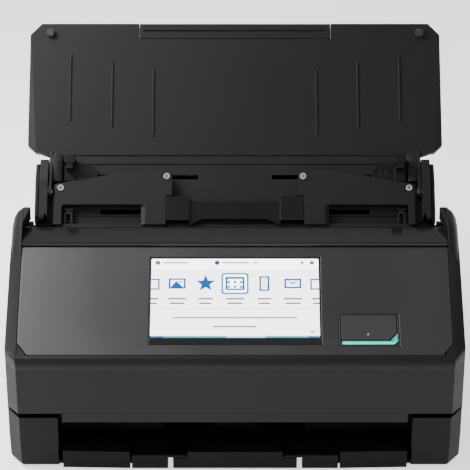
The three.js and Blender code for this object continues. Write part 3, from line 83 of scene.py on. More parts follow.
def rgba(colour):
    return (*colour[:3], 1.0)


def points_of(node):
    """All corner points of a CAD node, in millimetres of the common frame."""
    mesh = frame["nodes"][node].data
    flat = np.empty(len(mesh.vertices) * 3, np.float32)
    mesh.vertices.foreach_get("co", flat)
    return flat.reshape(-1, 3).astype(float) / MM


def extent(node, axes):
    """Lowest and highest reach of a CAD node along three axes."""
    along = points_of(node) @ axes.T
    return along.min(0), along.max(0)


# Sizes and colours that a user would change


class ScannerShell(bpy.types.PropertyGroup):
    charcoal: bpy.props.FloatVectorProperty(
        name="Charcoal", description="Colour of the outer mouldings", size=3, subtype="COLOR",
        min=0.0, max=1.0, default=linear("#171718"))
    black: bpy.props.FloatVectorProperty(
        name="Black", description="Colour of the inner mouldings", size=3, subtype="COLOR",
        min=0.0, max=1.0, default=linear("#0f0f10"))
    grain: bpy.props.FloatProperty(
        name="Grain", description="Spacing of the spark-eroded grain, in millimetres", default=0.55, min=0.1)
    rounding: bpy.props.FloatProperty(
        name="Rounding", description="Radius of the moulded edges", default=0.7 * MM, unit="LENGTH")


class ScannerDisplay(bpy.types.PropertyGroup):
    glow: bpy.props.FloatProperty(
        name="Glow", description="Strength of the lit display", default=2.6, min=0.0)
    accent: bpy.props.FloatVectorProperty(
        name="Accent", description="Colour of the icons and the selection frame", size=3, subtype="COLOR",
        min=0.0, max=1.0, default=linear("#074a8e"))
    icon: bpy.props.FloatProperty(
        name="Icon", description="Width of one icon", default=11.0 * MM, unit="LENGTH")


class ScannerLight(bpy.types.PropertyGroup):
    aqua: bpy.props.FloatVectorProperty(
        name="Aqua", description="Colour of the light strip at the scan button", size=3, subtype="COLOR",
        min=0.0, max=1.0, default=linear("#00cfbc"))
    strength: bpy.props.FloatProperty(
        name="Strength", description="Strength of the light strip", default=1.15, min=0.0)


class ScannerStudio(bpy.types.PropertyGroup):
    distance: bpy.props.FloatProperty(
        name="Distance", description="From the camera to the point it looks at", default=1.4788,
        unit="LENGTH")
    elevation: bpy.props.FloatProperty(
        name="Elevation", description="Height angle of the camera", default=np.radians(30.0), subtype="ANGLE")
    focal_length: bpy.props.FloatProperty(
        name="Focal length", description="Of the lens, in millimetres on a 36 mm sensor", default=175.7)
    key_power: bpy.props.FloatProperty(
        name="Key light", description="Power of the soft light at the upper left", default=30.0,
        unit="POWER")
    surrounding: bpy.props.FloatProperty(
        name="Surrounding light", description="Strength of the even light from all sides", default=0.5,
        min=0.0)
    floor_glow: bpy.props.FloatProperty(
        name="Floor glow", description="Light that the studio floor gives off itself", default=1.25, min=0.0)
    floor: bpy.props.FloatVectorProperty(
        name="Floor", description="Colour of the studio floor", size=3, subtype="COLOR",
        min=0.0, max=1.0, default=linear("#fafafa"))


# Nodes of a material


def put(tree, kind, inputs=None, **settings):
    """Adds a node with its settings; inputs maps its sockets to values or to the outputs of other nodes."""
    node = tree.nodes.new(kind)
    for name, value in settings.items():
        setattr(node, name, value)
    for socket, value in (inputs or {}).items():
        if isinstance(value, bpy.types.NodeSocket):
            tree.links.new(value, node.inputs[socket])
        else:
            node.inputs[socket].default_value = value
    return node


def blank_material(name):
    """A material with its object coordinates in millimetres, ready for one surface shader."""
    material = bpy.data.materials.new(name)
    material.use_nodes = True
    tree = material.node_tree
    tree.nodes.clear()
    place = put(tree, "ShaderNodeTexCoord").outputs["Object"]
    scaled = put(tree, "ShaderNodeVectorMath", {0: place, 1: (1 / MM, 1 / MM, 1 / MM)}, operation="MULTIPLY")
    return material, tree, scaled.outputs[0]


def finish_material(tree, shader):
    put(tree, "ShaderNodeOutputMaterial", {"Surface": shader.outputs[0]})


def mixed(tree, share, first, second):
    """A colour between two, by a share from 0 to 1."""
    return put(tree, "ShaderNodeMix", {0: share, 6: first, 7: second}, data_type="RGBA").outputs[2]


def ramped(tree, value, low, high, from_low, from_high):
    """Carries a value from one range to another and holds it there."""
    return put(tree, "ShaderNodeMapRange", {
        "Value": value, "From Min": from_low, "From Max": from_high, "To Min": low, "To Max": high,
    }).outputs[0]


def shade(colour, factor):
    return rgba([channel * factor for channel in colour])


def dimmed(colour, factor):
    return tuple(np.array(colour) * factor)


def moulded_abs(name, colour, roughness, grain, depth=0.02, sheen=0.22):
    """Injection-moulded ABS from a spark-eroded tool: a fine even grain that scatters light softly, slight
    clouds of gloss from handling, and edges painted lighter, part wear and part painted highlight. The grain
    is drawn about twice as coarse as the real one, to show."""
    material, tree, place = blank_material(name)
    grit = put(tree, "ShaderNodeTexNoise", {"Vector": place, "Scale": 1 / grain, "Detail": 2.0})
    cloud = put(tree, "ShaderNodeTexNoise", {"Vector": place, "Scale": 1 / 70, "Detail": 2.0})
    rim = put(tree, "ShaderNodeBevel", {"Radius": 0.5 * MM}, samples=4)
    flat = put(tree, "ShaderNodeNewGeometry").outputs["Normal"]
    facing = put(tree, "ShaderNodeVectorMath", {0: rim.outputs[0], 1: flat}, operation="DOT_PRODUCT")
    # Painted highlight with a little wear: where the bevel's rounded normal turns from the flat one, the edge is
    # painted lighter
    edge = ramped(tree, facing.outputs["Value"], 1.0, 0.0, 0.75, 0.995)
    tone = mixed(tree, cloud.outputs[0], shade(colour, 0.95), shade(colour, 1.05))
    tone = mixed(tree, edge, tone, shade(colour, EDGE_WEAR_AND_HIGHLIGHT))
    gloss = ramped(tree, cloud.outputs[0], roughness - 0.04, roughness + 0.04, 0.35, 0.65)
    bump = put(tree, "ShaderNodeBump", {
        "Height": grit.outputs[0], "Distance": depth * MM, "Strength": 0.6, "Normal": rim.outputs[0]})
    finish_material(tree, put(tree, "ShaderNodeBsdfPrincipled", {
        "Base Color": tone, "Roughness": gloss, "Normal": bump.outputs[0], "IOR": 1.53,
        "Specular IOR Level": sheen}))
    return material


def polished_abs(name, colour, sheen=0.5):
    """ABS from a mirror-polished tool: black and glossy, with faint flow waves and a few dull specks of
    dust and rubbed marks, so the studio lights show as long soft streaks."""
    material, tree, place = blank_material(name)
    wave = put(tree, "ShaderNodeTexNoise", {"Vector": place, "Scale": 1 / 18, "Detail": 1.0})
    rub = put(tree, "ShaderNodeTexNoise", {"Vector": place, "Scale": 1 / 1.4, "Detail": 3.0})
    rim = put(tree, "ShaderNodeBevel", {"Radius": 0.6 * MM}, samples=4)
    gloss = ramped(tree, rub.outputs[0], 0.1, 0.24, 0.4, 0.75)
    bump = put(tree, "ShaderNodeBump", {
        "Height": wave.outputs[0], "Distance": 0.03 * MM, "Strength": 0.5, "Normal": rim.outputs[0]})
    finish_material(tree, put(tree, "ShaderNodeBsdfPrincipled", {
        "Base Color": rgba(colour), "Roughness": gloss, "Normal": bump.outputs[0], "IOR": 1.53,
        "Specular IOR Level": sheen}))
    return material


def lit_polycarbonate(name, colour, strength):
    """A clouded polycarbonate light guide with lamps behind it: it glows evenly, a little brighter in the
    middle of each lamp's reach."""
    material, tree, place = blank_material(name)
    lamps = put(tree, "ShaderNodeTexNoise", {"Vector": place, "Scale": 1 / 9, "Detail": 1.0})
    tone = mixed(tree, lamps.outputs[0], shade(colour, 0.9), shade(colour, 1.1))
    finish_material(tree, put(tree, "ShaderNodeBsdfPrincipled", {
        "Base Color": tone, "Roughness": 0.3, "IOR": 1.58, "Emission Color": tone,
        "Emission Strength": strength}))
    return material


def display_ink(name, colour, glow):
    """One colour of the lit display seen through its cover glass: it emits its own light evenly through
    faint columns of pixels, drawn 0.3 mm apart, and the glass keeps a soft gloss over it."""
    material, tree, place = blank_material(name)
    pixels = put(tree, "ShaderNodeTexWave", {"Vector": place, "Scale": 1 / 6.0, "Distortion": 0.0},
                 bands_direction="X")
    tone = mixed(tree, pixels.outputs[0], shade(colour, 0.98), shade(colour, 1.0))
    finish_material(tree, put(tree, "ShaderNodeBsdfPrincipled", {
        "Base Color": shade(colour, 0.2), "Roughness": 0.16, "IOR": 1.5, "Emission Color": tone,
        "Emission Strength": glow, "Specular IOR Level": 0.2}))
    return material


def plated_steel(name, colour, roughness, lines):
    """Zinc-plated steel, turned or rolled: fine lines across the light in one direction, and a slightly
    uneven grey where the plating is thicker."""
    material, tree, place = blank_material(name)
    stretched = put(tree, "ShaderNodeVectorMath", {0: place, 1: lines}, operation="MULTIPLY")
    streak = put(tree, "ShaderNodeTexNoise", {"Vector": stretched.outputs[0], "Scale": 1.6, "Detail": 3.0})
    cloud = put(tree, "ShaderNodeTexNoise", {"Vector": place, "Scale": 1 / 8, "Detail": 2.0})
    tone = mixed(tree, cloud.outputs[0], shade(colour, 0.85), shade(colour, 1.1))
    gloss = ramped(tree, streak.outputs[0], roughness - 0.08, roughness + 0.12, 0.3, 0.7)
    bump = put(tree, "ShaderNodeBump", {"Height": streak.outputs[0], "Distance": 0.02 * MM, "Strength": 0.5})
    finish_material(tree, put(tree, "ShaderNodeBsdfPrincipled", {
        "Base Color": tone, "Roughness": gloss, "Metallic": 1.0, "Normal": bump.outputs[0]}))
    return material


def ground_rubber(name, colour, roughness=0.82):
    """Ground EPDM rubber: dull, with a sanded grain of about a third of a millimetre and paper dust that
    greys it in patches."""
    material, tree, place = blank_material(name)
    sanded = put(tree, "ShaderNodeTexNoise", {"Vector": place, "Scale": 3.0, "Detail": 4.0})
    dust = put(tree, "ShaderNodeTexNoise", {"Vector": place, "Scale": 1 / 6, "Detail": 3.0})
    share = ramped(tree, dust.outputs[0], 0.0, 0.35, 0.5, 0.8)
    tone = mixed(tree, share, rgba(colour), rgba(linear("#4b4b4a")))
    bump = put(tree, "ShaderNodeBump", {"Height": sanded.outputs[0], "Distance": 0.05 * MM, "Strength": 0.7})
    finish_material(tree, put(tree, "ShaderNodeBsdfPrincipled", {
        "Base Color": tone, "Roughness": roughness, "Normal": bump.outputs[0], "IOR": 1.5}))
    return material


def float_glass(name):
    """Float glass over a scan sensor: clear with a faint green-blue tint, dark where the sensor lies."""
    material, tree, place = blank_material(name)
    haze = put(tree, "ShaderNodeTexNoise", {"Vector": place, "Scale": 1 / 5, "Detail": 2.0})
    gloss = ramped(tree, haze.outputs[0], 0.03, 0.09, 0.4, 0.7)
    tone = mixed(tree, haze.outputs[0], rgba(linear("#1c2a2c")), rgba(linear("#24363a")))
    finish_material(tree, put(tree, "ShaderNodeBsdfPrincipled", {
        "Base Color": tone, "Roughness": gloss, "IOR": 1.52, "Coat Weight": 0.6}))
    return material


def solder_mask(name):
    """A glass-fibre circuit board under green solder mask: copper tracks lighten it in straight runs about
    2 mm apart, and small bright pads lie where parts are soldered."""
    material, tree, place = blank_material(name)
    tracks = put(tree, "ShaderNodeTexWave", {
        "Vector": place, "Scale": 0.16, "Distortion": 6.0, "Detail": 0.0})
    pads = put(tree, "ShaderNodeTexVoronoi", {"Vector": place, "Scale": 0.35})
    pad_share = ramped(tree, pads.outputs["Distance"], 1.0, 0.0, 0.16, 0.2)
    track_share = ramped(tree, tracks.outputs[0], 0.0, 1.0, 0.62, 0.66)
    tone = mixed(tree, track_share, rgba(linear("#12442c")), rgba(linear("#1d6a43")))
    tone = mixed(tree, pad_share, tone, rgba(linear("#c9c4b4")))
    finish_material(tree, put(tree, "ShaderNodeBsdfPrincipled", {
        "Base Color": tone, "Roughness": 0.4, "IOR": 1.5}))
    return material


MATERIALS = {}


def make_materials(scene):
    """All finishes, from the shared colours."""
    shell, display, light = scene.scanner_shell, scene.scanner_display, scene.scanner_light
    charcoal, black = tuple(shell.charcoal), tuple(shell.black)
    MATERIALS.update({
        "charcoal": moulded_abs("charcoal moulded ABS", charcoal, 0.5, shell.grain, sheen=0.16),
        # Painted shade: the base tray is the shell's charcoal painted darker, for the shade low on the scanner
        "base": moulded_abs("base moulded ABS with painted shade", dimmed(charcoal, 0.72), 0.52, shell.grain, sheen=0.11),
        "cover": moulded_abs("cover moulded ABS", dimmed(charcoal, 0.72), 0.56, shell.grain),
        "panel": moulded_abs("fine-grained panel ABS", charcoal, 0.4, shell.grain, 0.012, sheen=0.66),
        # Painted shade: the stackers are the shell's charcoal painted half as light, for the shade of the bay they
        # stand in
        "tray": moulded_abs("tray moulded ABS with painted shade", dimmed(charcoal, 0.5), 0.6, shell.grain, sheen=0.1),
        "key": moulded_abs("button moulded ABS", linear("#343436"), 0.45, shell.grain, sheen=0.26),
        "inner": moulded_abs("inner moulded ABS", black, 0.58, shell.grain),
        "satin": moulded_abs("satin black ABS", dimmed(black, 0.8), 0.34, shell.grain, 0.008),
        "gloss": polished_abs("polished black ABS", linear("#242426")),
        "lip": polished_abs("polished lip ABS", linear("#161617"), 0.24),
        "aqua": lit_polycarbonate("aqua light guide polycarbonate", tuple(light.aqua), light.strength),
        "aqua_shade": lit_polycarbonate("shaded aqua polycarbonate", shade(tuple(light.aqua), 0.6)[:3],
                                        light.strength * 0.6),
        "steel": plated_steel("zinc-plated rolled steel", linear("#a9abad"), 0.34, (0.2, 1.0, 1.0)),
        "turned": plated_steel("turned steel", linear("#b9bbbd"), 0.26, (1.0, 0.05, 0.05)),
        "blackened": plated_steel("blackened steel", linear("#2c2c2d"), 0.36, (1.0, 0.05, 0.05)),
        "rivet": moulded_abs("light grey acetal", linear("#a9aaa8"), 0.42, shell.grain),
        "rivet_core": moulded_abs("mid grey acetal", linear("#6e6f6e"), 0.42, shell.grain),
        "rubber": ground_rubber("ground EPDM rubber", linear("#1f1f20")),
        "belt": ground_rubber("neoprene belt", linear("#161616"), 0.7),
        "glass": float_glass("float scan glass"),
        "board": solder_mask("solder mask on glass fibre"),
        "ink_paper": display_ink("display white", linear("#f0f1f3"), display.glow * 1.8),
        "ink_bar": display_ink("display bar", linear("#fbfcfd"), display.glow * 2.1),
        "ink_accent": display_ink("display blue", tuple(display.accent), display.glow),
        "ink_grey": display_ink("display grey", linear("#5c6165"), display.glow),
        "ink_pale": display_ink("display pale grey", linear("#cfd5da"), display.glow),
        "ink_foot": display_ink("display cyan", linear("#08a6b4"), display.glow * 0.7),
        "ink_foam": display_ink("display pale cyan", linear("#8fdde0"), display.glow),
        "ink_frame": display_ink("display selection blue", linear("#00a3b8"), display.glow * 0.5),
        "glass_rim": polished_abs("black printed glass rim", linear("#101012")),
    })


NODE_FINISH = {
    "charcoal": ["rear_cover", "front_cover"],
    "base": ["base_tray"],
    "panel": ["control_panel"],
    "tray": ["stacker_outer", "stacker_middle", "stacker_centre", "stacker_stop"],
    "key": ["scan_button"],
    "cover": ["chute", "receipt_guide", "cover_tray", "cover_shell", "cover_extension"],
    "inner": ["lower_guide", "front_guide", "left_rack", "right_rack", "guide_pinion", "power_inlet",
              "front_scan_unit", "rear_scan_unit"],
    "satin": ["receipt_bridge", "left_side_guide", "right_side_guide"],
    "gloss": ["button_surround"],
    "lip": ["feed_lip"],
    "glass_rim": ["touch_screen"],
    "glass": ["front_scan_glass", "rear_scan_glass"],
    "aqua": ["button_light"],
    "steel": ["left_side_frame", "right_side_frame", "data_socket", "drive_motor"],
    "turned": ["left_front_hinge_pin", "right_front_hinge_pin", "left_cover_pin", "right_cover_pin",
               "motor_pulley", "button_spring"],
    "blackened": ["left_latch_pin", "right_latch_pin"],
    "rubber": ["pick_roller", "feed_roller", "exit_roller", "brake_roller", "feed_idler", "exit_idler",
               "left_cover_stud", "right_cover_stud", "front_left_foot", "front_right_foot",
               "rear_left_foot", "rear_right_foot"],
    "belt": ["drive_belt"],
    "board": ["main_board"],
}


def dress(thing, finish):
    thing.data.materials.clear()
    thing.data.materials.append(MATERIALS[finish])


# Meshes from arrays


def mesh_object(name, points, faces, smooth=True):
    """A mesh object from points in millimetres of the common frame and lists of face corners."""
    mesh = bpy.data.meshes.new(name)
    mesh.from_pydata(np.asarray(points, float) * MM, [], [list(map(int, face)) for face in faces])
    mesh.validate()
    mesh.shade_smooth() if smooth else mesh.shade_flat()
    thing = bpy.data.objects.new(name, mesh)
    bpy.context.scene.collection.objects.link(thing)
    return thing


def skin_faces(rings, count):
    """Quads between rings of count points each, and a cap on the first and the last ring."""
    ring, side = np.meshgrid(np.arange(rings - 1), np.arange(count), indexing="ij")
    here = ring * count + side
    beside = ring * count + (side + 1) % count
    quads = np.stack([here, beside, beside + count, here + count], -1).reshape(-1, 4)
    return [*quads, np.arange(count)[::-1], (rings - 1) * count + np.arange(count)]


def point_outwards(thing):
    """Turns all faces of a closed mesh to point out."""
    work = bmesh.new()
    work.from_mesh(thing.data)
    bmesh.ops.remove_doubles(work, verts=work.verts, dist=1e-7)
    bmesh.ops.recalc_face_normals(work, faces=work.faces)
    work.to_mesh(thing.data)
    work.free()
    thing.data.update()


def inset(outline, distance):
    """An outline moved inwards: each point goes along the mean of its two edges' inner normals, by the
    distance over the cosine of half the turn."""
    ahead = np.roll(outline, -1, 0) - outline
    ahead /= np.linalg.norm(ahead, axis=1, keepdims=True)
    inner = np.stack([-ahead[:, 1], ahead[:, 0]], -1)
    mean = inner + np.roll(inner, 1, 0)
    mean /= np.linalg.norm(mean, axis=1, keepdims=True)
    cosine = np.maximum((mean * inner).sum(1, keepdims=True), 0.3)
    return outline + mean * distance / cosine


def tile(name, outline, low, high, axes, rim=0.0, steps=3):
    """A plate with a rounded upper edge: an anticlockwise outline carried from low to high, its last part
    drawn in along a quarter circle of radius rim."""
    turn = np.linspace(0, np.pi / 2, steps + 1) if rim else np.zeros(1)
    heights = np.concatenate([[low], high - rim + rim * np.sin(turn)])
    insets = np.concatenate([[0.0], rim * (1 - np.cos(turn))])
    rings = [np.column_stack([inset(outline, by), np.full(len(outline), height)])
             for by, height in zip(insets, heights)]
    thing = mesh_object(name, np.concatenate(rings) @ axes, skin_faces(len(rings), len(outline)), bool(rim))
    point_outwards(thing)
    return thing


def rounded_box(left, right, foot, head, radius, steps=4):
    """A rectangle with quarter circles at its corners, anticlockwise."""
    angle = np.linspace(0, np.pi / 2, steps + 1)
    centres = [(right - radius, head - radius), (left + radius, head - radius),
               (left + radius, foot + radius), (right - radius, foot + radius)]
    return np.concatenate([
        np.column_stack([x + radius * np.cos(angle + turn), y + radius * np.sin(angle + turn)])
        for (x, y), turn in zip(centres, np.arange(4) * np.pi / 2)])


def disc(x, y, radius, count=24):
    angle = np.arange(count) * 2 * np.pi / count
    return np.column_stack([x + radius * np.cos(angle), y + radius * np.sin(angle)])


def turned_piece(name, profile, centre, axes, count=40):
    """A profile of radius and height turned about a line through the centre along the third axis."""
    profile = np.asarray(profile, float)
    angle = np.arange(count) * 2 * np.pi / count
    circle = np.stack([np.cos(angle), np.sin(angle)], -1)
    radius = np.maximum(profile[:, 0], 1e-4)
    rings = np.concatenate([
        radius[:, None, None] * circle[None],
        np.broadcast_to(profile[:, 1][:, None, None], (len(profile), count, 1)),
    ], -1).reshape(-1, 3)
    thing = mesh_object(name, rings @ axes + centre, skin_faces(len(profile), count))
    point_outwards(thing)
    return thing


def merged_copy(node, name):
    """A copy of a CAD node with its loose triangles joined and its flat faces made whole."""
    thing = bpy.data.objects.new(name, frame["nodes"][node].data.copy())
    bpy.context.scene.collection.objects.link(thing)
    work = bmesh.new()
    work.from_mesh(thing.data)
    bmesh.ops.remove_doubles(work, verts=work.verts, dist=2e-6)
    bmesh.ops.dissolve_limit(work, angle_limit=np.radians(0.6), verts=work.verts, edges=work.edges)
    work.to_mesh(thing.data)
    work.free()
    return thing


def round_edges(thing, width, angle=24.0):
    """Bevels the edges that turn by more than the angle, and keeps the flat faces shaded flat."""
    bevel = thing.modifiers.new("rounded edges", "BEVEL")
    bevel.width = width
    bevel.segments = 3
    bevel.limit_method = "ANGLE"
    bevel.angle_limit = np.radians(angle)
    bevel.use_clamp_overlap = True
    level = thing.modifiers.new("level faces", "WEIGHTED_NORMAL")
    level.keep_sharp = True


def rounded_node(node, finish, width):
    """The piece that stands for a CAD node with its sharp edges rounded by a bevel of that width."""
    thing = merged_copy(node, f"{node}_moulding")
    thing.data.shade_smooth()
    round_edges(thing, width)
    dress(thing, finish)
    stand_for(thing, node)


def body_of(node):
    return next(body for body, nodes in frame["record"]["behaviour"]["bodies"].items() if node in nodes)


def stand_for(thing, node):
    """Lets a piece take a CAD node's place on its body, and hides the node."""
    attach(thing, body_of(node))
    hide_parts(node)


def fix(thing, finish, node):
    """Gives a new piece its finish and lets it ride with a CAD node's body."""
    dress(thing, finish)
    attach(thing, body_of(node))


# The display's page. Shares are of its width or height, heights above the glass go by INK_STEP.

GLASS_RIM = 0.9
GLASS_FOOT = 4.2
INK_ROOT = 0.1
INK_STEP = 0.03
PAGE_CORNER = 0.6
BAR_SHARE = 0.13
EDGE_SHARE = 0.022
EDGE_LIGHTS = ((0.0, 0.08, "ink_accent"), (0.08, 0.45, "ink_foot"), (0.45, 0.68, "ink_foam"),
               (0.68, 0.93, "ink_foot"), (0.93, 1.0, "ink_accent"))
ICON_ROW = 0.684
ICON_PLACES = np.array([0.155, 0.325, 0.5, 0.675, 0.845])
ICON_LINE = 1.25
CUT_LINE = 1.1
CAPTION_HIGH = 1.2
RULE_SHARE = 0.36
RULE_MARGIN = 2
NOTES = (("note", 0.37, 0.241), ("name", 0.13, 0.13))
STATUS_SHARE = 0.05
MORE_SHARE = 0.075
DISPLAY_FACE = extent("touch_screen", PANEL_AXES)[1][2]


def ink(name, outline, finish, depth=1):
    """One shape of the page, raised over the glass by its depth in the stack of shapes."""
    piece = tile(f"display_{name}", np.asarray(outline, float), DISPLAY_FACE - INK_ROOT,
                 DISPLAY_FACE + INK_STEP * depth, PANEL_AXES)
    fix(piece, finish, "touch_screen")


def around(x, y, half_wide, half_high, radius):
    """A rounded box about its middle."""
    return rounded_box(x - half_wide, x + half_wide, y - half_high, y + half_high, radius)


def outlined(name, x, y, half_wide, half_high, radius):
    """A box drawn as a line of the icons' colour around a field of the page's."""
    ink(name, around(x, y, half_wide, half_high, radius), "ink_accent", 2)
    ink(f"{name}_field", around(x, y, half_wide - ICON_LINE, half_high - ICON_LINE, 0.3), "ink_paper", 3)


def chevron(x, y):
    """A small arrow head that points down, with its middle at x, y."""
    wide, thin = 1.8, 1.2
    return [(x - wide, y + 0.7), (x, y - 1.1), (x + wide, y + 0.7), (x + thin, y + 1.2), (x, y),
            (x - thin, y + 1.2)]


def caption_foot(row, icon, level):
    """Lower edge of the first or second line of a caption, under an icon's row."""
    return row - icon * (1.08 + 0.3 * level)


def window_icon(x, y, icon):
    """A window with six keys, in the frame that marks it as chosen."""
    wide, high = 0.8 * icon, 0.72 * icon
    ink("selection", around(x, y, wide, high, 1.8), "ink_frame", 2)
    ink("selection_field", around(x, y, wide - ICON_LINE, high - ICON_LINE, 1.2), "ink_bar", 3)
    half, under = 0.56 * icon, 0.45 * icon
    ink("window", around(x, y, half, under, 0.8), "ink_accent", 4)
    ink("window_field", rounded_box(x - half + ICON_LINE, x + half - ICON_LINE, y - under + ICON_LINE,
                                    y + 0.3 * icon, 0.4), "ink_bar", 5)
    for column in range(3):
        for level in range(2):
            key_x = x + (column - 1) * 0.36 * icon
            key_y = y - 0.07 * icon + (level - 0.5) * 0.32 * icon
            ink(f"grid_{column}_{level}", around(key_x, key_y, 0.9, 0.8, 0.3), "ink_accent", 6)


def picture_icon(x, y, half):
    outlined("picture", x, y, half, 0.7 * half, 0.6)
    ink("picture_sun", disc(x + 0.35 * half, y + 0.2 * half, 0.7), "ink_accent", 4)
    ink("picture_hill", [(x - 0.75 * half, y - 0.5 * half), (x + 0.7 * half, y - 0.5 * half),
                         (x - 0.1 * half, y + 0.35 * half)], "ink_accent", 4)


def star_icon(x, y, half):
    """Ten points about the middle, by turns at 1.2 and 0.5 of the half width."""
    angle = np.pi / 2 + np.arange(10) * np.pi / 5
    reach = np.where(np.arange(10) % 2, 0.5, 1.2) * half
    ink("star", np.column_stack([x + reach * np.cos(angle), y + reach * np.sin(angle)]), "ink_accent", 2)


def sheet_icon(x, y, half):
    outlined("sheet", x, y, 0.6 * half, half, 0.5)
    for level in range(3):
        ink(f"sheet_line_{level}", around(x, y + (level - 1) * 0.45 * half, 0.3 * half, 0.2, 0.1),
            "ink_accent", 4)


def letter_icon(x, y, half):
    outlined("letter", x, y, half, 0.66 * half, 0.5)
    fold, corner = y + 0.55 * half, half - ICON_LINE
    ink("letter_flap", [(x - corner, fold), (x, y - 0.15 * half), (x + corner, fold),
                        (x, y + 0.12 * half)], "ink_accent", 4)


# Operators


class SCANNER_OT_finishes(bpy.types.Operator):
    """Gives every solid of the scanner the finish of its real material"""
    bl_idname = "scanner.finishes"
    bl_label = "Finishes"

    def execute(self, context):
        make_materials(context.scene)
        for finish, nodes in NODE_FINISH.items():
            for node in nodes:
                dress(frame["nodes"][node], finish)
        left_out = set(frame["nodes"]) - {node for nodes in NODE_FINISH.values() for node in nodes}
        if left_out:
            raise ValueError(f"no finish is given for {sorted(left_out)}")
        return {"FINISHED"}


class SCANNER_OT_display(bpy.types.Operator):
    """Lights the touch screen with a plain start page of generic icons"""
    bl_idname = "scanner.display"
    bl_label = "Display"

    def execute(self, context):
        low, high = extent("touch_screen", PANEL_AXES)
        # The glass is printed black around the lit field, with a wider margin at its foot
        left, right = low[0] + GLASS_RIM, high[0] - GLASS_RIM
        foot, head = low[1] + GLASS_RIM + GLASS_FOOT, high[1] - GLASS_RIM
        wide, tall = right - left, head - foot
        middle = (left + right) / 2
        icon = context.scene.scanner_display.icon / MM
        row = foot + ICON_ROW * tall
        self.page(left, right, foot, head)
        self.icons(left + wide * ICON_PLACES, row, icon)
        rule = foot + RULE_SHARE * tall
        ink("rule", rounded_box(left + RULE_MARGIN, right - RULE_MARGIN, rule, rule + 0.35, 0.1),
            "ink_pale", 2)
        for name, half, share in NOTES:
            base = foot + share * tall
            ink(name, rounded_box(middle - half * wide, middle + half * wide, base, base + 1.0, 0.4),
                "ink_grey", 2)
        self.status(left, right, head - STATUS_SHARE * tall, middle)
        self.cut_icons(left, right, row, icon)
        ink("more_below", chevron(right - 4.6, foot + MORE_SHARE * tall), "ink_grey", 2)
        return {"FINISHED"}

    def page(self, left, right, foot, head):
        """The lit field, the bar along its head and the coloured lights along its foot."""
        wide, tall = right - left, head - foot
        ink("page", rounded_box(left, right, foot, head, PAGE_CORNER), "ink_paper")
        ink("bar", rounded_box(left, right, head - BAR_SHARE * tall, head, PAGE_CORNER), "ink_bar", 2)
        edge = foot + EDGE_SHARE * tall
        for index, (start, end, finish) in enumerate(EDGE_LIGHTS):
            ink(f"edge_light_{index}", rounded_box(left + start * wide, left + end * wide, foot, edge, 0.2),
                finish, 2)

    def icons(self, places, row, icon):
        """Five icons, each with two bars for its caption."""
        half = icon / 2
        window_icon(places[2], row, icon)
        picture_icon(places[0], row, half)
        star_icon(places[1], row, half)
        sheet_icon(places[3], row, half)
        letter_icon(places[4], row, half)
        for index, x in enumerate(places):
            width = icon * (0.42 if index % 2 else 0.54)
            for level, share in enumerate((1.0, 0.8)):
                base = caption_foot(row, icon, level)
                ink(f"caption_{index}_{level}", rounded_box(x - width * share, x + width * share, base,
                                                            base + CAPTION_HIGH, 0.4), "ink_grey", 2)

    def cut_icons(self, left, right, row, icon):
        """The icons on either side of the five, of which the page's edges leave a part."""
        reach = 0.5 * icon
        foot, head = row - 0.42 * icon, row + 0.32 * icon
        for side, edge, way in (("left", left, 1), ("right", right, -1)):
            outer = sorted((edge, edge + way * reach))
            inner = sorted((edge, edge + way * (reach - CUT_LINE)))
            ink(f"cut_icon_{side}", rounded_box(*outer, foot, head, 0.5), "ink_accent", 2)
            ink(f"cut_icon_field_{side}", rounded_box(*inner, foot + CUT_LINE, head - CUT_LINE, 0.2),
                "ink_paper", 3)
            for level, share in enumerate((0.9, 0.7)):
                base = caption_foot(row, icon, level)
                span = sorted((edge, edge + way * reach * share))
                ink(f"cut_caption_{side}_{level}", rounded_box(*span, base, base + CAPTION_HIGH, 0.3),
                    "ink_grey", 2)

    def status(self, left, right, level, middle):
        """Marks and bars in the page's upper bar: user, link, signal and settings."""
        ink("user", disc(left + 4.0, level, 1.7), "ink_grey", 3)
        ink("user_name", rounded_box(left + 7.5, left + 24, level - 0.5, level + 0.5, 0.3), "ink_grey", 3)
        ink("link", disc(middle - 11.5, level, 1.7), "ink_accent", 3)
        ink("link_name", rounded_box(middle - 8.4, middle + 9, level - 0.5, level + 0.5, 0.3), "ink_grey", 3)
        ink("more", chevron(middle + 13.4, level), "ink_grey", 3)
        ink("signal", disc(right - 10.5, level, 1.0), "ink_grey", 3)
        ink("settings", disc(right - 4.2, level, 1.5, 8), "ink_grey", 3)


class SCANNER_OT_mouldings(bpy.types.Operator):
    """Rounds the edges of the outer mouldings, as a steel tool leaves them"""
    bl_idname = "scanner.mouldings"
    bl_label = "Mouldings"

    def execute(self, context):
        rounding = context.scene.scanner_shell.rounding
        for node, finish, share in (
                ("base_tray", "base", 1.0), ("front_cover", "charcoal", 0.7),
                ("cover_tray", "cover", 0.7), ("cover_shell", "cover", 0.8),
                ("stacker_outer", "tray", 0.8), ("stacker_middle", "tray", 0.7),
                ("stacker_centre", "tray", 0.7), ("stacker_stop", "tray", 0.3),
                ("rear_cover", "charcoal", 1.0), ("receipt_guide", "cover", 0.5),
                ("receipt_bridge", "satin", 0.5), ("left_side_guide", "satin", 0.4),
                ("right_side_guide", "satin", 0.4), ("cover_extension", "cover", 0.5),
                ("control_panel", "panel", 0.3), ("scan_button", "key", 0.4),
                ("feed_lip", "lip", 0.6), ("left_cover_stud", "rubber", 0.8),
                ("right_cover_stud", "rubber", 0.8), ("front_left_foot", "rubber", 0.8),
                ("front_right_foot", "rubber", 0.8), ("rear_left_foot", "rubber", 0.8),
                ("rear_right_foot", "rubber", 0.8)):
            rounded_node(node, finish, rounding * share)
        return {"FINISHED"}


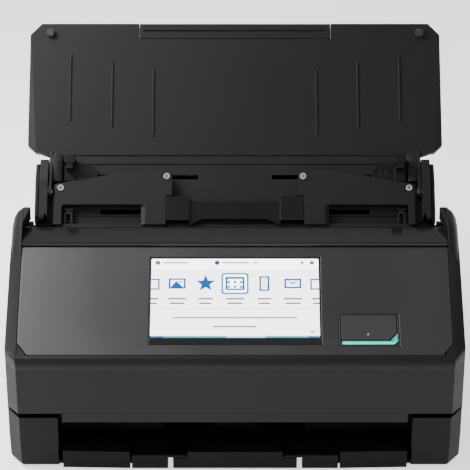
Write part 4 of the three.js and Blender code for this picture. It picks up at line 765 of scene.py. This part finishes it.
# Sections across a cheek's blunt end, by their distance from the front cover's rear: each point is
# inwards from the side face and down from the tip
HORN_SECTIONS = {
    -0.2: [(12.3, 8.8), (12.3, 0.1), (7.7, 0.1), (3.8, 3.4), (1.2, 8.2), (0.05, 14.0), (7.0, 14.5)],
    -13.5: [(7.8, 11.5), (7.8, 4.9), (6.5, 5.1), (3.4, 8.4), (1.0, 13.2), (0.05, 19.0), (6.5, 19.5)],
    -32.0: [(7.8, 20.6), (7.8, 19.9), (6.5, 20.3), (3.8, 22.4), (1.6, 24.2), (1.0, 26.4), (6.5, 27.0)],
}
HORN_ROUNDING = 0.5 * MM


class SCANNER_OT_horns(bpy.types.Operator):
    """The blunt upper ends of the two cheeks, which lean in over the feed lip"""
    bl_idname = "scanner.horns"
    bl_label = "Horns"

    def execute(self, context):
        outer, rear, top = extent("front_cover", LEVEL_AXES)[1]
        inwards, down = np.moveaxis(np.array(list(HORN_SECTIONS.values())), -1, 0)
        back = np.broadcast_to(np.array(list(HORN_SECTIONS))[:, None], inwards.shape)
        for side, label in ((-1, "left"), (1, "right")):
            points = np.stack([side * (outer - inwards), rear + back, top - down], -1).reshape(-1, 3)
            horn = mesh_object(f"{label}_cheek_horn", points, skin_faces(*inwards.shape))
            point_outwards(horn)
            round_edges(horn, HORN_ROUNDING, angle=30.0)
            fix(horn, "charcoal", "front_cover")
        return {"FINISHED"}


# The light strip keeps LIGHT_GAP from the button; its lit front stands LIGHT_EDGE in from its outline
LIGHT_GAP = 0.4
LIGHT_BAND = 1.5
LIGHT_EDGE = 0.2
LIGHT_CUT = 0.55
DOT_RADIUS = 0.7
DOT_RISE = 0.35
DOT_ROOT = 0.3
DOT_PLACE = (0.48, 0.21)


class SCANNER_OT_button(bpy.types.Operator):
    """The lit strip that turns up along the button's cut corner, and the raised dot that a finger feels"""
    bl_idname = "scanner.button"
    bl_label = "Button"

    def execute(self, context):
        self.light(*extent("button_light", PANEL_AXES), *extent("scan_button", PANEL_AXES))
        self.dot(*extent("scan_button", PANEL_AXES))
        return {"FINISHED"}

    def light(self, low, high, button_low, button_high):
        corner = high[1] - button_low[1]
        outer = LIGHT_CUT * corner
        outline = np.array([
            (low[0], low[1]), (high[0] - outer, low[1]), (high[0], low[1] + outer), (high[0], high[1]),
            (button_high[0] + 0.1, high[1]), (button_high[0] - corner + LIGHT_GAP, button_low[1] - LIGHT_GAP),
            (low[0], button_low[1] - LIGHT_GAP)])
        strip = tile("button_light_strip", outline, low[2], high[2], PANEL_AXES, LIGHT_EDGE)
        fix(strip, "aqua_shade", "button_light")
        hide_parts("button_light")
        left, right, foot = low[0] + LIGHT_EDGE, high[0] - LIGHT_EDGE, low[1] + LIGHT_EDGE
        front = np.array([
            (left, foot), (high[0] - outer - 0.1, foot), (right, low[1] + outer + 0.1),
            (right, low[1] + outer + LIGHT_BAND), (high[0] - outer - 0.6, foot + LIGHT_BAND),
            (left, foot + LIGHT_BAND)])
        fix(tile("button_light_front", front, high[2] - INK_ROOT, high[2] + INK_STEP, PANEL_AXES),
            "aqua", "button_light")

    def dot(self, low, high):
        size = high - low
        centre = PANEL_AXES.T @ np.array([
            low[0] + DOT_PLACE[0] * size[0], low[1] + DOT_PLACE[1] * size[1], high[2]])
        angle = np.linspace(0, np.pi / 2, 6)
        dome = np.column_stack([DOT_RADIUS * np.cos(angle), DOT_RISE * np.sin(angle)])
        profile = [[0.0, -DOT_ROOT], [DOT_RADIUS, -DOT_ROOT], *dome]
        fix(turned_piece("button_dot", profile, centre, PANEL_AXES, 20), "rivet", "scan_button")


# Rollers: points about each kind of ring, ribs and teeth with their depths, and the least steps in
# radius from the shaft by which a tyre and a hub are told
SHAFT_POINTS, HUB_POINTS, TYRE_POINTS = 32, 96, 192
TYRE_RIBS, RIB_DEPTH = 48, 0.3
HUB_TEETH, TOOTH_DEPTH = 16, 0.5
TYRE_STEP, HUB_STEP = 3.2, 0.4
TYRE_REACH = 60


class SCANNER_OT_rollers(bpy.types.Operator):
    """Shafts, toothed hubs and ribbed rubber tyres of the paper rollers"""
    bl_idname = "scanner.rollers"
    bl_label = "Rollers"

    def execute(self, context):
        for node in ("pick_roller", "feed_roller", "exit_roller", "brake_roller", "feed_idler", "exit_idler"):
            stand_for(roller(node), node)
        return {"FINISHED"}


def ribbed(places, radii, centre, ribs, depth, count):
    """Rings about the X axis whose radius is lessened by depth times a rounded wave with that many ribs:
    radius less depth times half of one plus the cosine of ribs times the angle."""
    angle = np.arange(count) * 2 * np.pi / count
    wave = depth * (0.5 + 0.5 * np.cos(ribs * angle))
    reach = np.maximum(np.asarray(radii, float)[:, None] - wave[None], 0.01)
    across = np.broadcast_to(np.asarray(places, float)[:, None], reach.shape)
    return np.stack([across, centre[1] + reach * np.cos(angle), centre[2] + reach * np.sin(angle)],
                    -1).reshape(-1, 3)


def roller(node):
    """A roller read from its solid: the smallest radius is its shaft, four places across with more are a
    tyre, and what is left of the shaft's first step is a toothed hub."""
    points = points_of(node)
    centre = (points.min(0) + points.max(0)) / 2
    reach = np.hypot(points[:, 1] - centre[1], points[:, 2] - centre[2])
    across = np.round(points[:, 0], 1)
    places = np.unique(across)
    most = np.array([reach[across == place].max() for place in places])
    shaft = reach[reach > 0.5].min()
    tyres = places[(most > shaft + TYRE_STEP) & (np.abs(places) < TYRE_REACH)].reshape(-1, 4)
    rod = ribbed(places[[0, 0, -1, -1]], [0.0, shaft, shaft, 0.0], centre, 0, 0.0, SHAFT_POINTS)
    pieces = [(rod, 4, SHAFT_POINTS, 0)]
    for span in tyres:
        radii = [0.0, *(most[np.searchsorted(places, place)] for place in span), 0.0]
        tyre = ribbed(span[[0, 0, 1, 2, 3, 3]], radii, centre, TYRE_RIBS, RIB_DEPTH, TYRE_POINTS)
        pieces.append((tyre, 6, TYRE_POINTS, 1))
    if most[0] > shaft + HUB_STEP:
        hub = ribbed(places[[0, 0, 1, 1]], [0.0, most[0], most[0], 0.0], centre, HUB_TEETH, TOOTH_DEPTH,
                     HUB_POINTS)
        pieces.append((hub, 4, HUB_POINTS, 2))
    start, faces, finishes = 0, [], []
    for block, rings, count, finish in pieces:
        added = [np.asarray(face) + start for face in skin_faces(rings, count)]
        faces += added
        finishes += [finish] * len(added)
        start += len(block)
    thing = mesh_object(f"{node}_turned", np.concatenate([block for block, *_ in pieces]), faces)
    for finish in ("turned", "rubber", "inner"):
        thing.data.materials.append(MATERIALS[finish])
    thing.data.polygons.foreach_set("material_index", np.array(finishes, np.int32))
    point_outwards(thing)
    return thing


# Rivets: places across and along the paper path, and the profile of a head about its dished core
RIVET_PLACES = ((114.5, 19.5), (44.9, 27.5))
HEAD_RADIUS, HEAD_RISE, DISH_RADIUS, SHANK = 2.1, 0.7, 1.15, 2.0
CORE_PROFILE = [[0.0, 0.05], [DISH_RADIUS, 0.05], [DISH_RADIUS, 0.22], [0.5, 0.3], [0.0, 0.3]]
# How far up the paper path from its mouth the cover's hinge line lies
PIVOT_ALONG = 17.4


class SCANNER_OT_rivets(bpy.types.Operator):
    """Heads of the four rivets that close the receipt guide's wings"""
    bl_idname = "scanner.rivets"
    bl_label = "Rivets"

    def execute(self, context):
        mouth = path_mouth()
        high = extent("receipt_guide", PATH_AXES)[1][2]
        angle = np.linspace(0, np.pi, 9)
        middle, half = (HEAD_RADIUS + DISH_RADIUS) / 2, (HEAD_RADIUS - DISH_RADIUS) / 2
        rim = np.column_stack([middle + half * np.cos(angle), HEAD_RISE * np.sin(angle) + 0.1])
        shank = [[0.0, -SHANK], [DISH_RADIUS, -SHANK], [DISH_RADIUS, 0.02], [HEAD_RADIUS, 0.02]]
        profile = np.concatenate([shank, rim, [[0.0, 0.1]]])
        for side, label in ((-1, "left"), (1, "right")):
            for (x, along), where in zip(RIVET_PLACES, ("outer", "inner")):
                centre = side * x * ACROSS + (mouth + along) * PATH_UP + high * PATH_OUT
                name = f"{label}_{where}_rivet"
                fix(turned_piece(name, profile, centre, PATH_AXES), "rivet", "receipt_guide")
                fix(turned_piece(f"{name}_core", CORE_PROFILE, centre, PATH_AXES), "rivet_core",
                    "receipt_guide")
        return {"FINISHED"}


def path_mouth():
    """Where the paper path's mouth lies along the path, from the cover's hinge line."""
    pivot = PATH_AXES @ (np.array(JOINTS["cover_hinge"]["pos_m"]) / MM)
    return pivot[1] - PIVOT_ALONG


FLOOR_REACH = 6000.0
# Soft lamps: name, place in metres, size in metres, and share of the key light's power
LAMPS = (("key", (-0.42, 0.05, 0.58), 0.35, 0.26),
         ("front", (-0.5, -2.1, 1.7), 1.6, 0.3),
         ("rear", (0.3, 1.45, 2.3), 1.6, 0.08))
LAMP_TARGET = np.array([0.0, 0.0, 0.1])
CAMERA_TARGET = np.array([0.0, -31.04, 133.0]) * MM
SENSOR_WIDTH = 36.0


class SCANNER_OT_studio(bpy.types.Operator):
    """A pale floor, soft lights and the camera at the photograph's angle"""
    bl_idname = "scanner.studio"
    bl_label = "Studio"

    def execute(self, context):
        studio = context.scene.scanner_studio
        self.floor(studio)
        self.lights(studio)
        self.camera(context, studio)
        return {"FINISHED"}

    def floor(self, studio):
        corners = np.array([[-1, -1, 0], [1, -1, 0], [1, 1, 0], [-1, 1, 0]]) * FLOOR_REACH
        floor = mesh_object("studio_floor", corners, [[0, 1, 2, 3]], False)
        material, tree, place = blank_material("matte studio paper")
        fibre = put(tree, "ShaderNodeTexNoise", {"Vector": place, "Scale": 1 / 400, "Detail": 2.0})
        tone = mixed(tree, fibre.outputs[0], shade(tuple(studio.floor), 0.99), rgba(tuple(studio.floor)))
        finish_material(tree, put(tree, "ShaderNodeBsdfPrincipled", {
            "Base Color": tone, "Roughness": 0.9, "Emission Color": tone,
            "Emission Strength": studio.floor_glow}))
        floor.data.materials.append(material)

    def lights(self, studio):
        world = bpy.data.worlds.new("studio world")
        world.use_nodes = True
        background = world.node_tree.nodes["Background"]
        background.inputs["Color"].default_value = rgba(linear("#ffffff"))
        background.inputs["Strength"].default_value = studio.surrounding
        bpy.context.scene.world = world
        for name, place, size, share in LAMPS:
            self.area(name, place, size, studio.key_power * share)

    def area(self, name, place, size, power):
        lamp = bpy.data.lights.new(name, "AREA")
        lamp.size = size
        lamp.energy = power
        thing = bpy.data.objects.new(name, lamp)
        thing.location = place
        thing.rotation_euler = aim(np.array(place), LAMP_TARGET)
        bpy.context.scene.collection.objects.link(thing)

    def camera(self, context, studio):
        lens = bpy.data.cameras.new("camera")
        lens.lens = studio.focal_length
        lens.sensor_width = SENSOR_WIDTH
        thing = bpy.data.objects.new("camera", lens)
        back = np.array([0.0, -np.cos(studio.elevation), np.sin(studio.elevation)])
        thing.location = CAMERA_TARGET + back * studio.distance
        thing.rotation_euler = aim(np.array(thing.location), CAMERA_TARGET)
        context.scene.collection.objects.link(thing)
        context.scene.camera = thing


def aim(place, target):
    """The rotation that turns an object's -Z axis from its place towards a target."""
    return Vector(target - place).to_track_quat("-Z", "Y").to_euler()


class SCANNER_PT_panel(bpy.types.Panel):
    """Lists the scanner's sizes, colours and operators"""
    bl_idname = "SCANNER_PT_panel"
    bl_label = "Document Scanner"
    bl_space_type = "VIEW_3D"
    bl_region_type = "UI"
    bl_category = "Scanner"

    def draw(self, context):
        layout = self.layout
        for group in GROUPS:
            properties = getattr(context.scene, group)
            for name in properties.__annotations__:
                layout.prop(properties, name)
        for operator in OPERATORS:
            layout.operator(operator.bl_idname)


GROUPS = {
    "scanner_shell": ScannerShell,
    "scanner_display": ScannerDisplay,
    "scanner_light": ScannerLight,
    "scanner_studio": ScannerStudio,
}
OPERATORS = [
    SCANNER_OT_finishes,
    SCANNER_OT_mouldings,
    SCANNER_OT_horns,
    SCANNER_OT_display,
    SCANNER_OT_button,
    SCANNER_OT_rollers,
    SCANNER_OT_rivets,
    SCANNER_OT_studio,
]


def register():
    for group in GROUPS.values():
        bpy.utils.register_class(group)
    for name, group in GROUPS.items():
        setattr(bpy.types.Scene, name, bpy.props.PointerProperty(type=group))
    for kind in (*OPERATORS, SCANNER_PT_panel):
        bpy.utils.register_class(kind)


def unregister():
    for kind in (SCANNER_PT_panel, *reversed(OPERATORS)):
        bpy.utils.unregister_class(kind)
    for name in GROUPS:
        delattr(bpy.types.Scene, name)
    for group in reversed(GROUPS.values()):
        bpy.utils.unregister_class(group)


def main():
    register()
    for operator in OPERATORS:
        group, name = operator.bl_idname.split(".")
        getattr(getattr(bpy.ops, group), name)()


if __name__ == "__main__":
    main()
